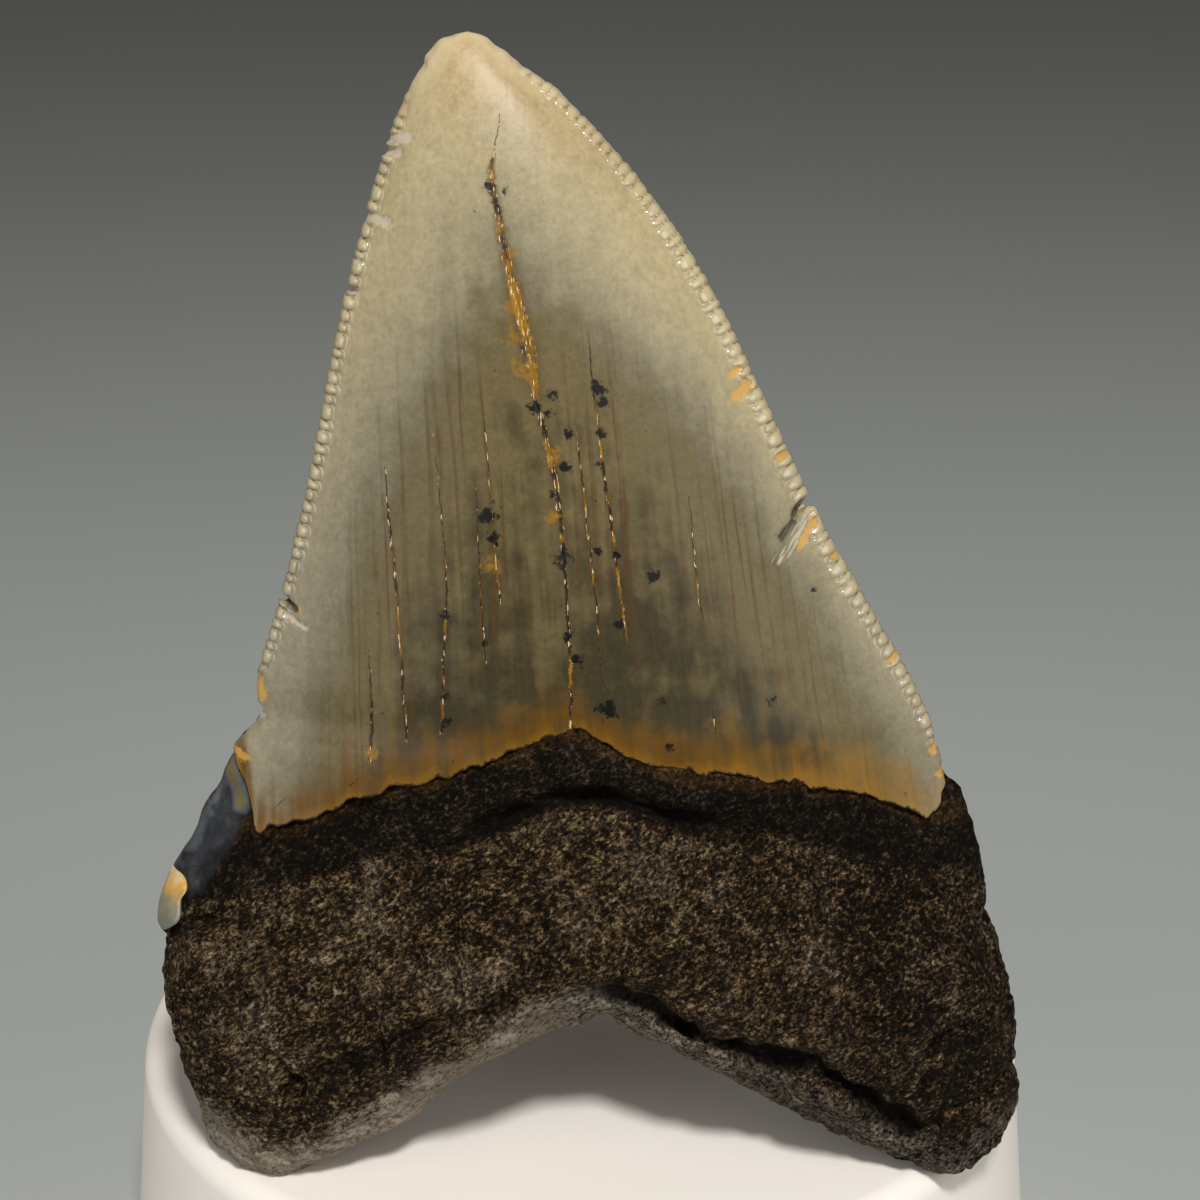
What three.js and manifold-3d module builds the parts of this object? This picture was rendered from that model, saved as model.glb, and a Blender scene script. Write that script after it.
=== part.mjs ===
// A fossil shark tooth standing on a round plinth. Millimetres, +Z up, origin at the centre of the
// plinth's underside. The tooth's inner face, with the dark collar below its enamel, looks towards -Y.
//
// The tooth is drawn in its own frame: x across, z from the seat to the tip, y through its thickness,
// with its sharp edge in the plane y = 0. It is then leaned back and set on the plinth.
// Outlines are lists of [x, z].

import * as THREE from 'three';
import { mergeVertices } from 'three/addons/utils/BufferGeometryUtils.js';
import Module from 'manifold-3d';

// Plinth
const STAND_TOP_RADIUS = 36.2;
const STAND_BASE_RADIUS = 38.3;
const STAND_HEIGHT = 24;
const STAND_RIM_ROUND = 2;
const STAND_FOOT_ROUND = 0.8;
const STAND_SIDES = 64;

// Seat of the tooth on the plinth: the tooth's own origin lies SEAT_SINK under the plinth's top
const SEAT_Y = -20.5;
const SEAT_SINK = 1;
const SEAT_GAP = 0.3;
const LEAN = THREE.MathUtils.degToRad(8);

// Outline of the blade, from the tip down each cutting edge to the corner of the crown
const TIP = [-7.5, 82.7];
const CROWN_LENGTH = 52;
const LEFT_EDGE = [
  TIP, [-10.2, 81.4], [-12.2, 77.4], [-14.1, 72], [-15.7, 66.5], [-17.1, 61], [-18.3, 55.2],
  [-19.6, 49.6], [-21, 44.3], [-22.5, 39.6], [-23.9, 35.5], [-25.2, 32],
];
const RIGHT_EDGE = [
  TIP, [-4.6, 81.4], [-1, 78.5], [2.6, 74.8], [5.8, 70.8], [8.6, 66.6], [11.1, 62], [13.5, 57],
  [15.9, 51.9], [18.3, 47.2], [20.9, 42.8], [23.3, 38.8], [25.4, 34.7], [27.1, 29.9],
];

// Where the enamel ends: a broken chevron in front, torn away at its left corner, a low bow behind
const ENAMEL_FRONT = [
  [-25.2, 32], [-23.3, 31.4], [-23.4, 28], [-23, 26.5], [-19.7, 27.6], [-14.9, 30], [-9.4, 31.7],
  [-6.1, 33], [-2.4, 34.6], [-0.1, 35.6], [1.9, 34.5], [5.6, 32.9], [7.7, 32.3], [11.2, 31.9],
  [13.7, 31], [15.5, 31.3], [16.9, 30.4], [20.9, 29.5], [25.4, 27.3], [26.3, 27.8], [27.1, 29.9],
];
const ENAMEL_BACK = [
  [-25.2, 32], [-22.5, 28.6], [-14, 26.2], [-5, 27], [1, 28], [7, 27], [16, 26], [24.5, 27], [27.1, 29.9],
];

// Outline of the root: both sides down from under the enamel, and the arch between its two lobes
const ROOT_LEFT = [
  [-24.7, 33.2], [-26.2, 28.8], [-27.6, 26.2], [-29.6, 23.4], [-30.8, 20.8], [-31, 18.8], [-30.3, 17.8],
  [-30.6, 15.8], [-30.3, 12.5], [-29.5, 8], [-28.7, 4.9], [-27.4, 2.1],
];
const ROOT_RIGHT = [
  [26.4, 31.2], [28.1, 27.3], [29.2, 24.6], [29.9, 22.2], [30.2, 19.6], [31.2, 17.2], [31.9, 14.5],
  [32.5, 10.5], [32.7, 7], [32.4, 3.9], [31.5, 1.6],
];
const ROOT_ARCH = [
  [-27.4, 2.1], [-25.6, 0.6], [-23.7, -0.1], [-21.4, -0.2], [-19, 0.4], [-17.2, 1.2], [-13.9, 3.2],
  [-10.9, 5.4], [-8.6, 7.1], [-5.3, 9.1], [-1.7, 11.4], [1.4, 12.5], [3.4, 11.7], [7.3, 9.5],
  [11.5, 7.2], [15.2, 5.1], [19.4, 2.5], [21.8, 1.4], [24.2, 0.5], [26.5, -0.1], [28.5, -0.2],
  [30.2, 0.4], [31.5, 1.6],
];
const TUCK = 2;

// Depth of each face from the plane of the edge
const FRONT = { sign: -1, crown: 8.3, root: 8.3, bulge: 1.7, toe: 1.6, round: 6.5, enamel: ENAMEL_FRONT };
const BACK = { sign: 1, crown: 4.4, root: 5, bulge: 0.6, toe: 0, round: 4.5, enamel: ENAMEL_BACK };
const CROWN_TAPER = 0.55;
const CROWN_LENS = 1.8;
const LOBE_CENTRE = 1;
const LOBE_REACH = 31;
const LOBE_THINNING = 0.25;
const LOBE_CURVE = 2.5;
const BULGE_RISE = 9;
const TOE_HEIGHTS = [3, 14];
const BLEND_HEIGHTS = [15, 29];
const ENAMEL_THICKNESS = 0.4;

// Grooves and lumps of the root's front face
const COLLAR_GROOVE = [
  [-30, 20.5], [-18.2, 24.3], [-9.8, 27.3], [-6, 29.1], [-2, 31], [0.8, 31.6], [4.2, 30.7], [10.9, 28.3],
  [20, 25.5], [30, 23],
];
const FURROWS = [
  { path: [[-18.2, 24.3], [-9.8, 27.3], [-2, 31], [0.8, 31.6], [4.2, 30.7], [12.9, 28]], deep: 0.5, wide: 1.1 },
  { path: [[2.7, 16.2], [8.6, 13.6], [14, 11.1], [19.6, 9.5], [24.4, 4.9]], deep: 1.3, wide: 0.9 },
  { path: [[-20.9, 8.5], [-12.2, 13], [-4.9, 15.9]], deep: 0.5, wide: 1 },
  { path: [[-31, 17.8], [-28, 18.2], [-25.6, 19]], deep: 0.8, wide: 0.7 },
];
const LUMP_HEIGHT = 0.22;
const LUMP_TURNS = [[0.93, 0.61, 0], [-0.47, 1.12, 1.3]];

// Beads of the cutting edges, chips out of them, and the flake of enamel left on the root's left side
const BEAD_HEIGHT = 0.32;
const BEAD_WEAR = [0.02, 0.16];
const BEADS_PER_ROW = 2;
const CHIPS = [
  { at: [-13.3, -0.7, 75.6], radius: 0.9 },
  { at: [-16.4, -0.3, 65.4], radius: 0.8 },
  { at: [-22.2, 0, 42.6], radius: 1.2 },
  { at: [-25, 0, 34.9], radius: 2 },
  { at: [11.8, -1.7, 59.2], radius: 1 },
  { at: [14.9, -1.2, 53.4], radius: 0.7 },
  { at: [17.4, -0.5, 50], radius: 1.5 },
  { at: [26.5, -0.9, 32.3], radius: 0.8 },
];
const FLAKE = [[-30.8, 18.7], [-28.9, 19.9], [-28.3, 21.8], [-29.8, 22.9], [-30.6, 21.3], [-31, 19.6]];
const FLAKE_ROOTED = 0.8;

// Fineness of the faceted solids
const LINE_STEPS = 240;
const CROWN_ROWS = 34;
const CROWN_COLUMNS = 12;
const ROOT_ROWS = 22;
const ROOT_COLUMNS = 38;

const toVectors = (points) => points.map(([x, z]) => new THREE.Vector2(x, z));
const curved = (points) => new THREE.SplineCurve(toVectors(points)).getSpacedPoints(LINE_STEPS);
const straight = (points) => new THREE.Path(toVectors(points)).getSpacedPoints(LINE_STEPS);
const leftEdge = curved(LEFT_EDGE);
const rightEdge = curved(RIGHT_EDGE);
const rootLeft = curved(ROOT_LEFT);
const rootRight = curved(ROOT_RIGHT);
const rootArch = curved(ROOT_ARCH);
const rootOutline = [...rootLeft, ...rootArch.slice(1), ...rootRight.slice(0, -1).reverse()];

// Point at a fraction of an evenly stepped line.
function along(line, fraction) {
  const step = Math.min(Math.floor(fraction * LINE_STEPS), LINE_STEPS - 1);
  return line[step].clone().lerp(line[step + 1], fraction * LINE_STEPS - step);
}

// x of a line that falls steadily from its first point, at height z.
function crossing(line, z) {
  const below = line.findIndex((point) => point.y <= z);
  if (below < 1) {
    return below === 0 ? line[0].x : line.at(-1).x;
  }
  const [upper, lower] = [line[below - 1], line[below]];
  return THREE.MathUtils.mapLinear(z, upper.y, lower.y, upper.x, lower.x);
}

// z of a line that runs steadily from left to right, at x.
function heightAt(points, x) {
  const next = THREE.MathUtils.clamp(points.findIndex((point) => point[0] >= x), 1, points.length - 1);
  const [before, after] = [points[next - 1], points[next]];
  return THREE.MathUtils.mapLinear(x, before[0], after[0], before[1], after[1]);
}

// Shortest distance from a point to a line of straight steps.
function distanceTo(line, point) {
  const nearest = new THREE.Vector3();
  const spot = new THREE.Vector3(point.x, point.y, 0);
  const step = new THREE.Line3();
  let shortest = Infinity;
  for (let k = 1; k < line.length; k += 1) {
    step.start.set(line[k - 1].x, line[k - 1].y, 0);
    step.end.set(line[k].x, line[k].y, 0);
    step.closestPointToPoint(spot, true, nearest);
    shortest = Math.min(shortest, nearest.distanceTo(spot));
  }
  return shortest;
}

// Depth of a face: a lens from edge to edge over the crown, a slab with rounded sides over the root,
// blended into each other round the collar.
function faceDepth(point, face) {
  const { x, y: z } = point;
  const { smoothstep, clamp, lerp } = THREE.MathUtils;
  const left = crossing(z > ROOT_LEFT[0][1] ? leftEdge : rootLeft, z);
  const right = crossing(z > ROOT_RIGHT[0][1] ? rightEdge : rootRight, z);
  const across = clamp((2 * x - left - right) / Math.max(right - left, 1e-6), -1, 1);
  const fromTip = clamp((TIP[1] - z) / CROWN_LENGTH, 0, 1);
  const lens = face.crown * fromTip ** CROWN_TAPER * (1 - Math.abs(across) ** CROWN_LENS);
  const inset = 1 - Math.min(distanceTo(rootOutline, point) / face.round, 1);
  const lobes = 1 - LOBE_THINNING * Math.abs((x - LOBE_CENTRE) / LOBE_REACH) ** LOBE_CURVE;
  const bulge = face.bulge * smoothstep(heightAt(COLLAR_GROOVE, x) - z, 0, BULGE_RISE);
  const toe = face.toe * (1 - smoothstep(z, ...TOE_HEIGHTS));
  const slab = (face.root + bulge - toe) * lobes * Math.sqrt(1 - inset ** 2);
  return lerp(slab, lens, smoothstep(z, ...BLEND_HEIGHTS));
}

// Furrows and lumps of the root's front face, fading out at its outline.
const furrowLines = FURROWS.map(({ path, deep, wide }) => ({ line: toVectors(path), deep, wide }));
function rootRelief(point, depth) {
  const waves = LUMP_TURNS.map(([byX, byZ, phase]) => Math.sin(byX * point.x + byZ * point.y + phase));
  let relief = LUMP_HEIGHT * waves[0] * waves[1];
  for (const { line, deep, wide } of furrowLines) {
    relief -= deep * Math.exp(-((distanceTo(line, point) / wide) ** 2));
  }
  return relief * THREE.MathUtils.smoothstep(depth, 0, FRONT.root / 2);
}

// A closed shell under construction: its points and its triangles.
function newShell() {
  const points = [];
  const triangles = [];
  return {
    points,
    triangles,
    point: (x, y, z) => points.push(x, y, z) / 3 - 1,
    triangle: (a, b, c, turned) => triangles.push(...(turned ? [a, c, b] : [a, b, c])),
    quad(a, b, c, d, turned) {
      this.triangle(a, b, c, turned);
      this.triangle(a, c, d, turned);
    },
  };
}

// Skin over a grid of point numbers: rows run down, columns from left to right, seen from the front.
function skin(shell, rows, turned) {
  for (let i = 1; i < rows.length; i += 1) {
    for (let j = 1; j < rows[i].length; j += 1) {
      shell.quad(rows[i - 1][j - 1], rows[i][j - 1], rows[i][j], rows[i - 1][j], turned);
    }
  }
}

// Cutting edge: a zigzag of beads, worn smooth towards the tip.
function cuttingEdge(shell, line, outward, tipPoint) {
  const steps = CROWN_ROWS * BEADS_PER_ROW * 2;
  const numbers = [tipPoint];
  for (let k = 1; k <= steps; k += 1) {
    const wear = THREE.MathUtils.smoothstep(k / steps, ...BEAD_WEAR);
    const bead = k === steps ? 0 : (BEAD_HEIGHT / 2) * wear * (k % 2 === 1 ? 1 : -1);
    const spot = along(line, k / steps);
    numbers.push(shell.point(spot.x + outward * bead, 0, spot.y));
  }
  return numbers;
}

// Strip between a beaded edge and the column of face points nearest to it.
function edgeStrip(shell, edge, column, turned) {
  const perRow = BEADS_PER_ROW * 2;
  for (let i = 0; i < CROWN_ROWS; i += 1) {
    const first = i * perRow;
    const middle = i === 0 ? 0 : first + perRow / 2;
    for (let k = first; k < first + perRow; k += 1) {
      shell.triangle(edge[k], edge[k + 1], k < middle ? column[i] : column[i + 1], turned);
    }
    if (i > 0) {
      shell.triangle(column[i], edge[middle], column[i + 1], turned);
    }
  }
}

// Enamel crown: rows from edge to edge, bowed towards the base into the line where the enamel ends.
function crownShell() {
  const shell = newShell();
  const tipPoint = shell.point(TIP[0], 0, TIP[1]);
  const left = cuttingEdge(shell, leftEdge, -1, tipPoint);
  const right = cuttingEdge(shell, rightEdge, 1, tipPoint);
  const lastRows = [FRONT, BACK].map((face) => {
    const turned = face === BACK;
    const enamelLine = face === FRONT ? straight(face.enamel) : curved(face.enamel);
    const rows = [];
    for (let i = 1; i <= CROWN_ROWS; i += 1) {
      const down = i / CROWN_ROWS;
      const row = [];
      for (let j = 1; j < CROWN_COLUMNS; j += 1) {
        const over = (1 - Math.cos((Math.PI * j) / CROWN_COLUMNS)) / 2;
        const chord = leftEdge.at(-1).clone().lerp(rightEdge.at(-1), over);
        const bow = along(enamelLine, over).sub(chord).multiplyScalar(down ** 3);
        const spot = along(leftEdge, down).lerp(along(rightEdge, down), over).add(bow);
        const depth = faceDepth(spot, face) + ENAMEL_THICKNESS * Math.sin(Math.PI * over) ** 0.5;
        row.push(shell.point(spot.x, face.sign * depth, spot.y));
      }
      rows.push(row);
    }
    skin(shell, rows, turned);
    for (let j = 1; j < rows[0].length; j += 1) {
      shell.triangle(tipPoint, rows[0][j - 1], rows[0][j], turned);
    }
    edgeStrip(shell, left, [tipPoint, ...rows.map((row) => row[0])], turned);
    edgeStrip(shell, right, [tipPoint, ...rows.map((row) => row.at(-1))], !turned);
    return [left.at(-1), ...rows.at(-1), right.at(-1)];
  });
  closeBetween(shell, lastRows[0], lastRows[1], true);
  return shell;
}

// Strip that closes a shell between a front row and a back row which share their two ends.
function closeBetween(shell, front, back, downwards) {
  const last = front.length - 1;
  shell.triangle(front[0], back[1], front[1], !downwards);
  for (let j = 1; j < last - 1; j += 1) {
    shell.quad(front[j], back[j], back[j + 1], front[j + 1], !downwards);
  }
  shell.triangle(front[last - 1], back[last - 1], front[last], !downwards);
}

// Root: a patch between its two sides, its arch and a line tucked under the enamel.
function rootShell() {
  const shell = newShell();
  const grids = [FRONT, BACK].map((face) => {
    const tucked = face.enamel.slice(4, -3).map(([x, z]) => [x, z + TUCK]);
    const upper = curved([ROOT_LEFT[0], ...tucked, ROOT_RIGHT[0]]);
    return { face, upper };
  });
  const firstGrid = [];
  const rows = grids.map(({ face, upper }, side) => {
    const grid = [];
    for (let i = 0; i <= ROOT_ROWS; i += 1) {
      const down = Math.sin((Math.PI / 2) * (i / ROOT_ROWS));
      const row = [];
      for (let j = 0; j <= ROOT_COLUMNS; j += 1) {
        const over = (1 - Math.cos((Math.PI * j) / ROOT_COLUMNS)) / 2;
        const onRim = j === 0 || j === ROOT_COLUMNS || i === ROOT_ROWS;
        if (onRim && side === 1) {
          row.push(firstGrid[i][j]);
        } else {
          const spot = rootSpot(upper, over, down);
          const depth = onRim ? 0 : faceDepth(spot, face);
          const relief = onRim || face === BACK ? 0 : rootRelief(spot, depth);
          row.push(shell.point(spot.x, face.sign * (depth + relief), spot.y));
        }
      }
      grid.push(row);
    }
    if (side === 0) {
      firstGrid.push(...grid);
    }
    skin(shell, grid, face === BACK);
    return grid;
  });
  closeBetween(shell, rows[0][0], rows[1][0], false);
  return shell;
}

// Point of the root's patch: the mean of its four bounding lines, less that of its four corners.
function rootSpot(upper, over, down) {
  const spot = along(upper, over).multiplyScalar(1 - down);
  spot.addScaledVector(along(rootArch, over), down);
  spot.addScaledVector(along(rootLeft, down), 1 - over);
  spot.addScaledVector(along(rootRight, down), over);
  spot.addScaledVector(rootLeft[0], -(1 - over) * (1 - down));
  spot.addScaledVector(rootLeft.at(-1), -(1 - over) * down);
  spot.addScaledVector(rootRight[0], -over * (1 - down));
  spot.addScaledVector(rootRight.at(-1), -over * down);
  return spot;
}

// Flake of enamel on the root's left side: a small plate that follows the face below it.
function flakeShell() {
  const shell = newShell();
  const corners = toVectors(FLAKE);
  const middle = new THREE.Vector2();
  for (const corner of corners) {
    middle.addScaledVector(corner, 1 / corners.length);
  }
  const levels = [ENAMEL_THICKNESS, -FLAKE_ROOTED].map((rise) => [...corners, middle].map((spot) => (
    shell.point(spot.x, -faceDepth(spot, FRONT) - rise, spot.y)
  )));
  const [outer, inner] = levels;
  for (let k = 0; k < corners.length; k += 1) {
    const next = (k + 1) % corners.length;
    shell.triangle(outer[k], outer[next], outer.at(-1), false);
    shell.triangle(inner[k], inner[next], inner.at(-1), true);
    shell.quad(outer[k], inner[k], inner[next], outer[next], false);
  }
  return shell;
}

const wasm = await Module();
wasm.setup();

function solidFrom(points, triangles) {
  const mesh = new wasm.Mesh({
    numProp: 3,
    vertProperties: new Float32Array(points),
    triVerts: new Uint32Array(triangles),
  });
  return new wasm.Manifold(mesh);
}

function solidOf(geometry) {
  const bare = geometry.clone();
  bare.deleteAttribute('normal');
  bare.deleteAttribute('uv');
  const merged = mergeVertices(bare);
  return solidFrom(merged.attributes.position.array, merged.index.array);
}

// Block under the leaned tooth, whose upper side is the level seat that flattens both lobes.
function seatBlock() {
  const height = 20;
  const block = new THREE.BoxGeometry(4 * LOBE_REACH, 2 * LOBE_REACH, height);
  block.translate(0, 0, SEAT_SINK + SEAT_GAP - height / 2);
  block.rotateX(LEAN);
  return solidOf(block);
}

function toothGeometry() {
  const shells = [crownShell(), rootShell(), flakeShell()];
  const [crown, root, flake] = shells.map((shell) => solidFrom(shell.points, shell.triangles));
  let tooth = crown.add(root).add(flake).subtract(seatBlock());
  for (const { at, radius } of CHIPS) {
    const scoop = new THREE.IcosahedronGeometry(radius, 1);
    scoop.translate(...at);
    tooth = tooth.subtract(solidOf(scoop));
  }
  const mesh = tooth.getMesh();
  const geometry = new THREE.BufferGeometry();
  geometry.setAttribute('position', new THREE.BufferAttribute(mesh.vertProperties, 3));
  geometry.setIndex(new THREE.BufferAttribute(mesh.triVerts, 1));
  geometry.computeVertexNormals();
  return geometry;
}

// Plinth: a turned profile with a slight flare, a soft rim and a small round at the foot.
function standGeometry() {
  const flare = Math.atan2(STAND_BASE_RADIUS - STAND_TOP_RADIUS, STAND_HEIGHT);
  const profile = new THREE.Path();
  profile.moveTo(0, 0);
  profile.lineTo(STAND_BASE_RADIUS - STAND_FOOT_ROUND, 0);
  profile.absarc(
    STAND_BASE_RADIUS - STAND_FOOT_ROUND, STAND_FOOT_ROUND, STAND_FOOT_ROUND, -Math.PI / 2, flare, false,
  );
  profile.absarc(
    STAND_TOP_RADIUS - STAND_RIM_ROUND, STAND_HEIGHT - STAND_RIM_ROUND, STAND_RIM_ROUND, flare, Math.PI / 2, false,
  );
  profile.lineTo(0, STAND_HEIGHT);
  const turned = new THREE.LatheGeometry(profile.getPoints(5), STAND_SIDES);
  turned.rotateX(Math.PI / 2);
  return turned;
}

const fossil = new THREE.MeshStandardMaterial({ color: 0xa89f86, roughness: 0.4, metalness: 0 });
const plaster = new THREE.MeshStandardMaterial({ color: 0xe6e0d6, roughness: 0.75, metalness: 0 });

const tooth = new THREE.Mesh(toothGeometry(), fossil);
tooth.name = 'tooth';
const seat = new THREE.Group();
seat.position.set(0, SEAT_Y, STAND_HEIGHT - SEAT_SINK);
seat.rotation.x = -LEAN;
seat.add(tooth);

const stand = new THREE.Mesh(standGeometry(), plaster);
stand.name = 'stand';

const part = new THREE.Group();
part.add(stand, seat);

export default part;
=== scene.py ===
from math import atan, cos, pi, radians, sin
from types import SimpleNamespace

import bmesh
import bpy
import numpy as np
from bpy.props import FloatProperty, FloatVectorProperty, PointerProperty
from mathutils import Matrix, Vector


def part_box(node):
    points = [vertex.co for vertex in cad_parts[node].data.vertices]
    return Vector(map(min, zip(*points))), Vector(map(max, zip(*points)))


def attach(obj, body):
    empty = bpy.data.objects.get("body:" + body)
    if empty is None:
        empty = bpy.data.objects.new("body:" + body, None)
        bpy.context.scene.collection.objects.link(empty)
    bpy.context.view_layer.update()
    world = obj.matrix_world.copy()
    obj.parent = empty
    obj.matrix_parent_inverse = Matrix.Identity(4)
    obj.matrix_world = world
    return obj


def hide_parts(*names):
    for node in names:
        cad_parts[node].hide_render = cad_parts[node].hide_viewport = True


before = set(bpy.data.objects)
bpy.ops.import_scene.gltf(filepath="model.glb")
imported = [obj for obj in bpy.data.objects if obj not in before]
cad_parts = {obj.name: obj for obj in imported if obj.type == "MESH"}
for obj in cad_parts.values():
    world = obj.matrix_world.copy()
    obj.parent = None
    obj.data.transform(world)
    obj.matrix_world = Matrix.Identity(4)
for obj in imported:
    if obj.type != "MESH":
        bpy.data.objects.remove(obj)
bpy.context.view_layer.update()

bl_info = {
    "name": "Fossil Tooth on a Stand",
    "version": (1, 0, 0),
    "blender": (4, 5, 0),
    "location": "View3D > Sidebar > Fossil",
    "description": "Builds a serrated fossil shark tooth, its round plaster stand and a studio stage",
    "category": "Add Mesh",
}

MM = 0.001
STAND_LOW, STAND_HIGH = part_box("stand")

# The tooth's own frame, in millimetres: x across the tooth, z from its seat on the stand towards its tip,
# y through its thickness, with the shown face on the -y side and the cutting edge in the plane y = 0.
TIP = (-7.4, 82.65)
LEFT_EDGE = [TIP, (-8.5, 82.45), (-9.5, 82), (-10.3, 81.1), (-10.9, 79.9), (-12.2, 77.4), (-14.1, 72),
             (-15.7, 66.5), (-17.1, 61), (-18.3, 55.2), (-19.6, 49.6), (-21, 44.3), (-22.5, 39.6),
             (-23.3, 37.5), (-23.3, 36.2), (-23.1, 34.9), (-23.7, 33.8), (-24.6, 33.1), (-25.2, 32)]
RIGHT_EDGE = [TIP, (-6.3, 82.4), (-5.4, 81.9), (-4.2, 81), (-2.9, 79.9), (-1, 78.5), (2.6, 74.8),
              (5.8, 70.8), (8.6, 66.6), (11.1, 62), (13.5, 57), (15.9, 51.9), (18.3, 47.2), (20.9, 42.8),
              (23.3, 38.8), (25.4, 34.7), (27.1, 29.9)]
ENAMEL_FRONT = [(-25.2, 32), (-24.8, 31), (-23.9, 29), (-23.2, 26.4), (-19.7, 27.6), (-14.9, 30),
                (-9.4, 31.7), (-6.1, 33), (-2.4, 34.6), (-0.1, 35.6), (1.9, 34.5), (5.6, 32.9), (7.7, 32.3),
                (11.2, 31.9), (13.7, 31), (15.5, 31.3), (16.9, 30.4), (20.9, 29.5), (25.4, 27.3),
                (26.3, 27.8), (27.1, 29.9)]
ENAMEL_BACK = [(-25.2, 32), (-22.5, 28.6), (-14, 26.2), (-5, 27), (1, 28), (7, 27), (16, 26), (24.5, 27),
               (27.1, 29.9)]
ROOT_LEFT = [(-24.2, 33.3), (-26.2, 28.8), (-27.6, 26.2), (-29.6, 23.4), (-30.8, 20.8), (-31, 18.8),
             (-30.3, 17.8), (-30.6, 15.8), (-30.3, 12.5), (-29.5, 8), (-28.7, 4.9), (-27.4, 2.1)]
ROOT_RIGHT = [(25.8, 31.6), (28.1, 27.3), (29.2, 24.6), (29.9, 22.2), (30.2, 19.6), (31.2, 17.2),
              (31.9, 14.5), (32.5, 10.5), (32.7, 7), (32.4, 3.9), (31.5, 1.6)]
ROOT_ARCH = [(-27.4, 2.1), (-25.6, 0.6), (-23.7, -0.1), (-21.4, -0.2), (-19, 0.4), (-17.2, 1.2), (-13.9, 3.2),
             (-10.9, 5.4), (-8.6, 7.1), (-5.3, 9.1), (-1.7, 11.4), (1.4, 12.5), (3.4, 11.7), (7.3, 9.5),
             (11.5, 7.2), (15.2, 5.1), (19.4, 2.5), (21.8, 1.4), (24.2, 0.5), (26.5, -0.1), (28.5, -0.2),
             (30.2, 0.4), (31.5, 1.6)]
COLLAR_GROOVE = [(-30, 20.5), (-18.2, 24.3), (-9.8, 27.3), (-6, 29.1), (-2, 31), (0.8, 31.6), (4.2, 30.7),
                 (10.9, 28.3), (20, 25.5), (30, 23)]

# The two faces: depths of the crown's lens and of the root's slab from the edge's plane, how the root fills
# out below its groove and thins at its toes, the rounding of its outline, the face's side, the line where the
# enamel ends, and that line's stretch between the corners.
FRONT = {"crown": 8.3, "root": 8.3, "bulge": 1.7, "toe": 1.6, "round": 6.5, "side": -1,
         "enamel": ENAMEL_FRONT, "between": ENAMEL_FRONT[4:-3]}
BACK = {"crown": 4.4, "root": 5, "bulge": 0.6, "toe": 0, "round": 4.5, "side": 1,
        "enamel": ENAMEL_BACK, "between": ENAMEL_BACK[2:-2]}
CROWN_LENGTH = 52
CROWN_TAPER = 0.55
CROWN_LENS = 1.8
# The lens grows fuller over this last share of the crown's length, towards the tip.
BLUNT_SHARE = 0.45
LOBE_CENTRE = 1
LOBE_REACH = 31
LOBE_THINNING = 0.25
LOBE_CURVE = 2.5
BULGE_RISE = 9
TOE_HEIGHTS = (3, 14)
BLEND_HEIGHTS = (15, 29)
ROOT_TUCK = 2
# Groove under the collar: how far its deepest line lies under the drawn one, and its width. The collar's dark
# skin sets in between two heights over the drawn line.
GROOVE_DROP = 0.8
GROOVE_WIDTH = 1.2
COLLAR_RISE = (-0.9, 0.5)
# Height of the lip over the groove, its cut and its shade, each at the sides and what the middle has more.
GROOVE_LIP = (0.2, 0.5)
GROOVE_CUT = (0.2, 0.6)
GROOVE_SHADE = (0.2, 0.8)
GROOVE_MIDDLE = 0.5
GROOVE_FADE = (17, 6)
# How far the root lies lower under the enamel, and over which distance from the enamel's end it drops.
ROOT_DROP = 0.5
ROOT_DROP_FADE = (0.1, -0.6)
# Distances over which marks fade in: the arch's worn lips, rust along the joint, and the enamel's section.
LIP_FADE = (5.2, 2.6)
RUST_FADE = (1.1, 0.1)
SECTION_FADE = (1.1, 0.1)
PIT_DEPTH = 0.5
PIT_WIDTH = 0.12
# Grain of several sizes, each as (height, cell size, seed): along the enamel's lower line, over its skin, in
# the borders of the root's marks, and on the root as grains, in shares of their height, and as lumps.
ENAMEL_JAGS = ((0.22, 1.1, 14), (0.24, 0.6, 15))
ENAMEL_RIPPLES = ((0.05, 5, 11), (0.02, 1.6, 12))
BORDER_WANDER = ((0.45, 1.7, 25), (0.25, 0.7, 26))
ROOT_GRAINS = ((1, 0.42, 21), (0.7, 0.8, 22))
ROOT_LUMPS = ((0.3, 1.7, 23), (0.55, 4.6, 24))

# Rows meet the cutting edge aslant, so the distance from it is this share of the way along a row.
ROW_SLANT = 0.92
EDGE_ROUND = 0.7
# Beads, for the left and the right edge: how far in they reach, and the fractions of the edge between which
# they run. Then how they fade in and out, lift and push the edge, and how uneven they are.
BEAD_REACH = (0.9, 1.2)
BEAD_SPANS = ((0.1, 0.9), (0.05, 0.98))
BEAD_FADES = (0.07, 0.06)
BEAD_LIFT = 0.3
BEAD_INSET = 0.5
BEAD_COUNT = 120
BEAD_DRIFT = 0.25
BEAD_SIZES = (0.6, 1.1)
CHIP_INSET = 1.5
EDGE_WEAR = 0.16
CRACK_HALF_WIDTH = 0.17
# The closing rows under the crown: shares by which they draw in across and through the tooth, and their rise.
CUP_NARROWS = 0.08
CUP_THINS = 0.85
CUP_RISE = 1.6

# Rows and columns of the grids, and the steps round the stand. The back sheets have half as many.
CROWN_GRID = (424, 180)
CUP_ROWS = 4
ROOT_GRID = (240, 320)
FLAKE_GRID = (24, 120)
PLINTH_SIDES = 256

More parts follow.
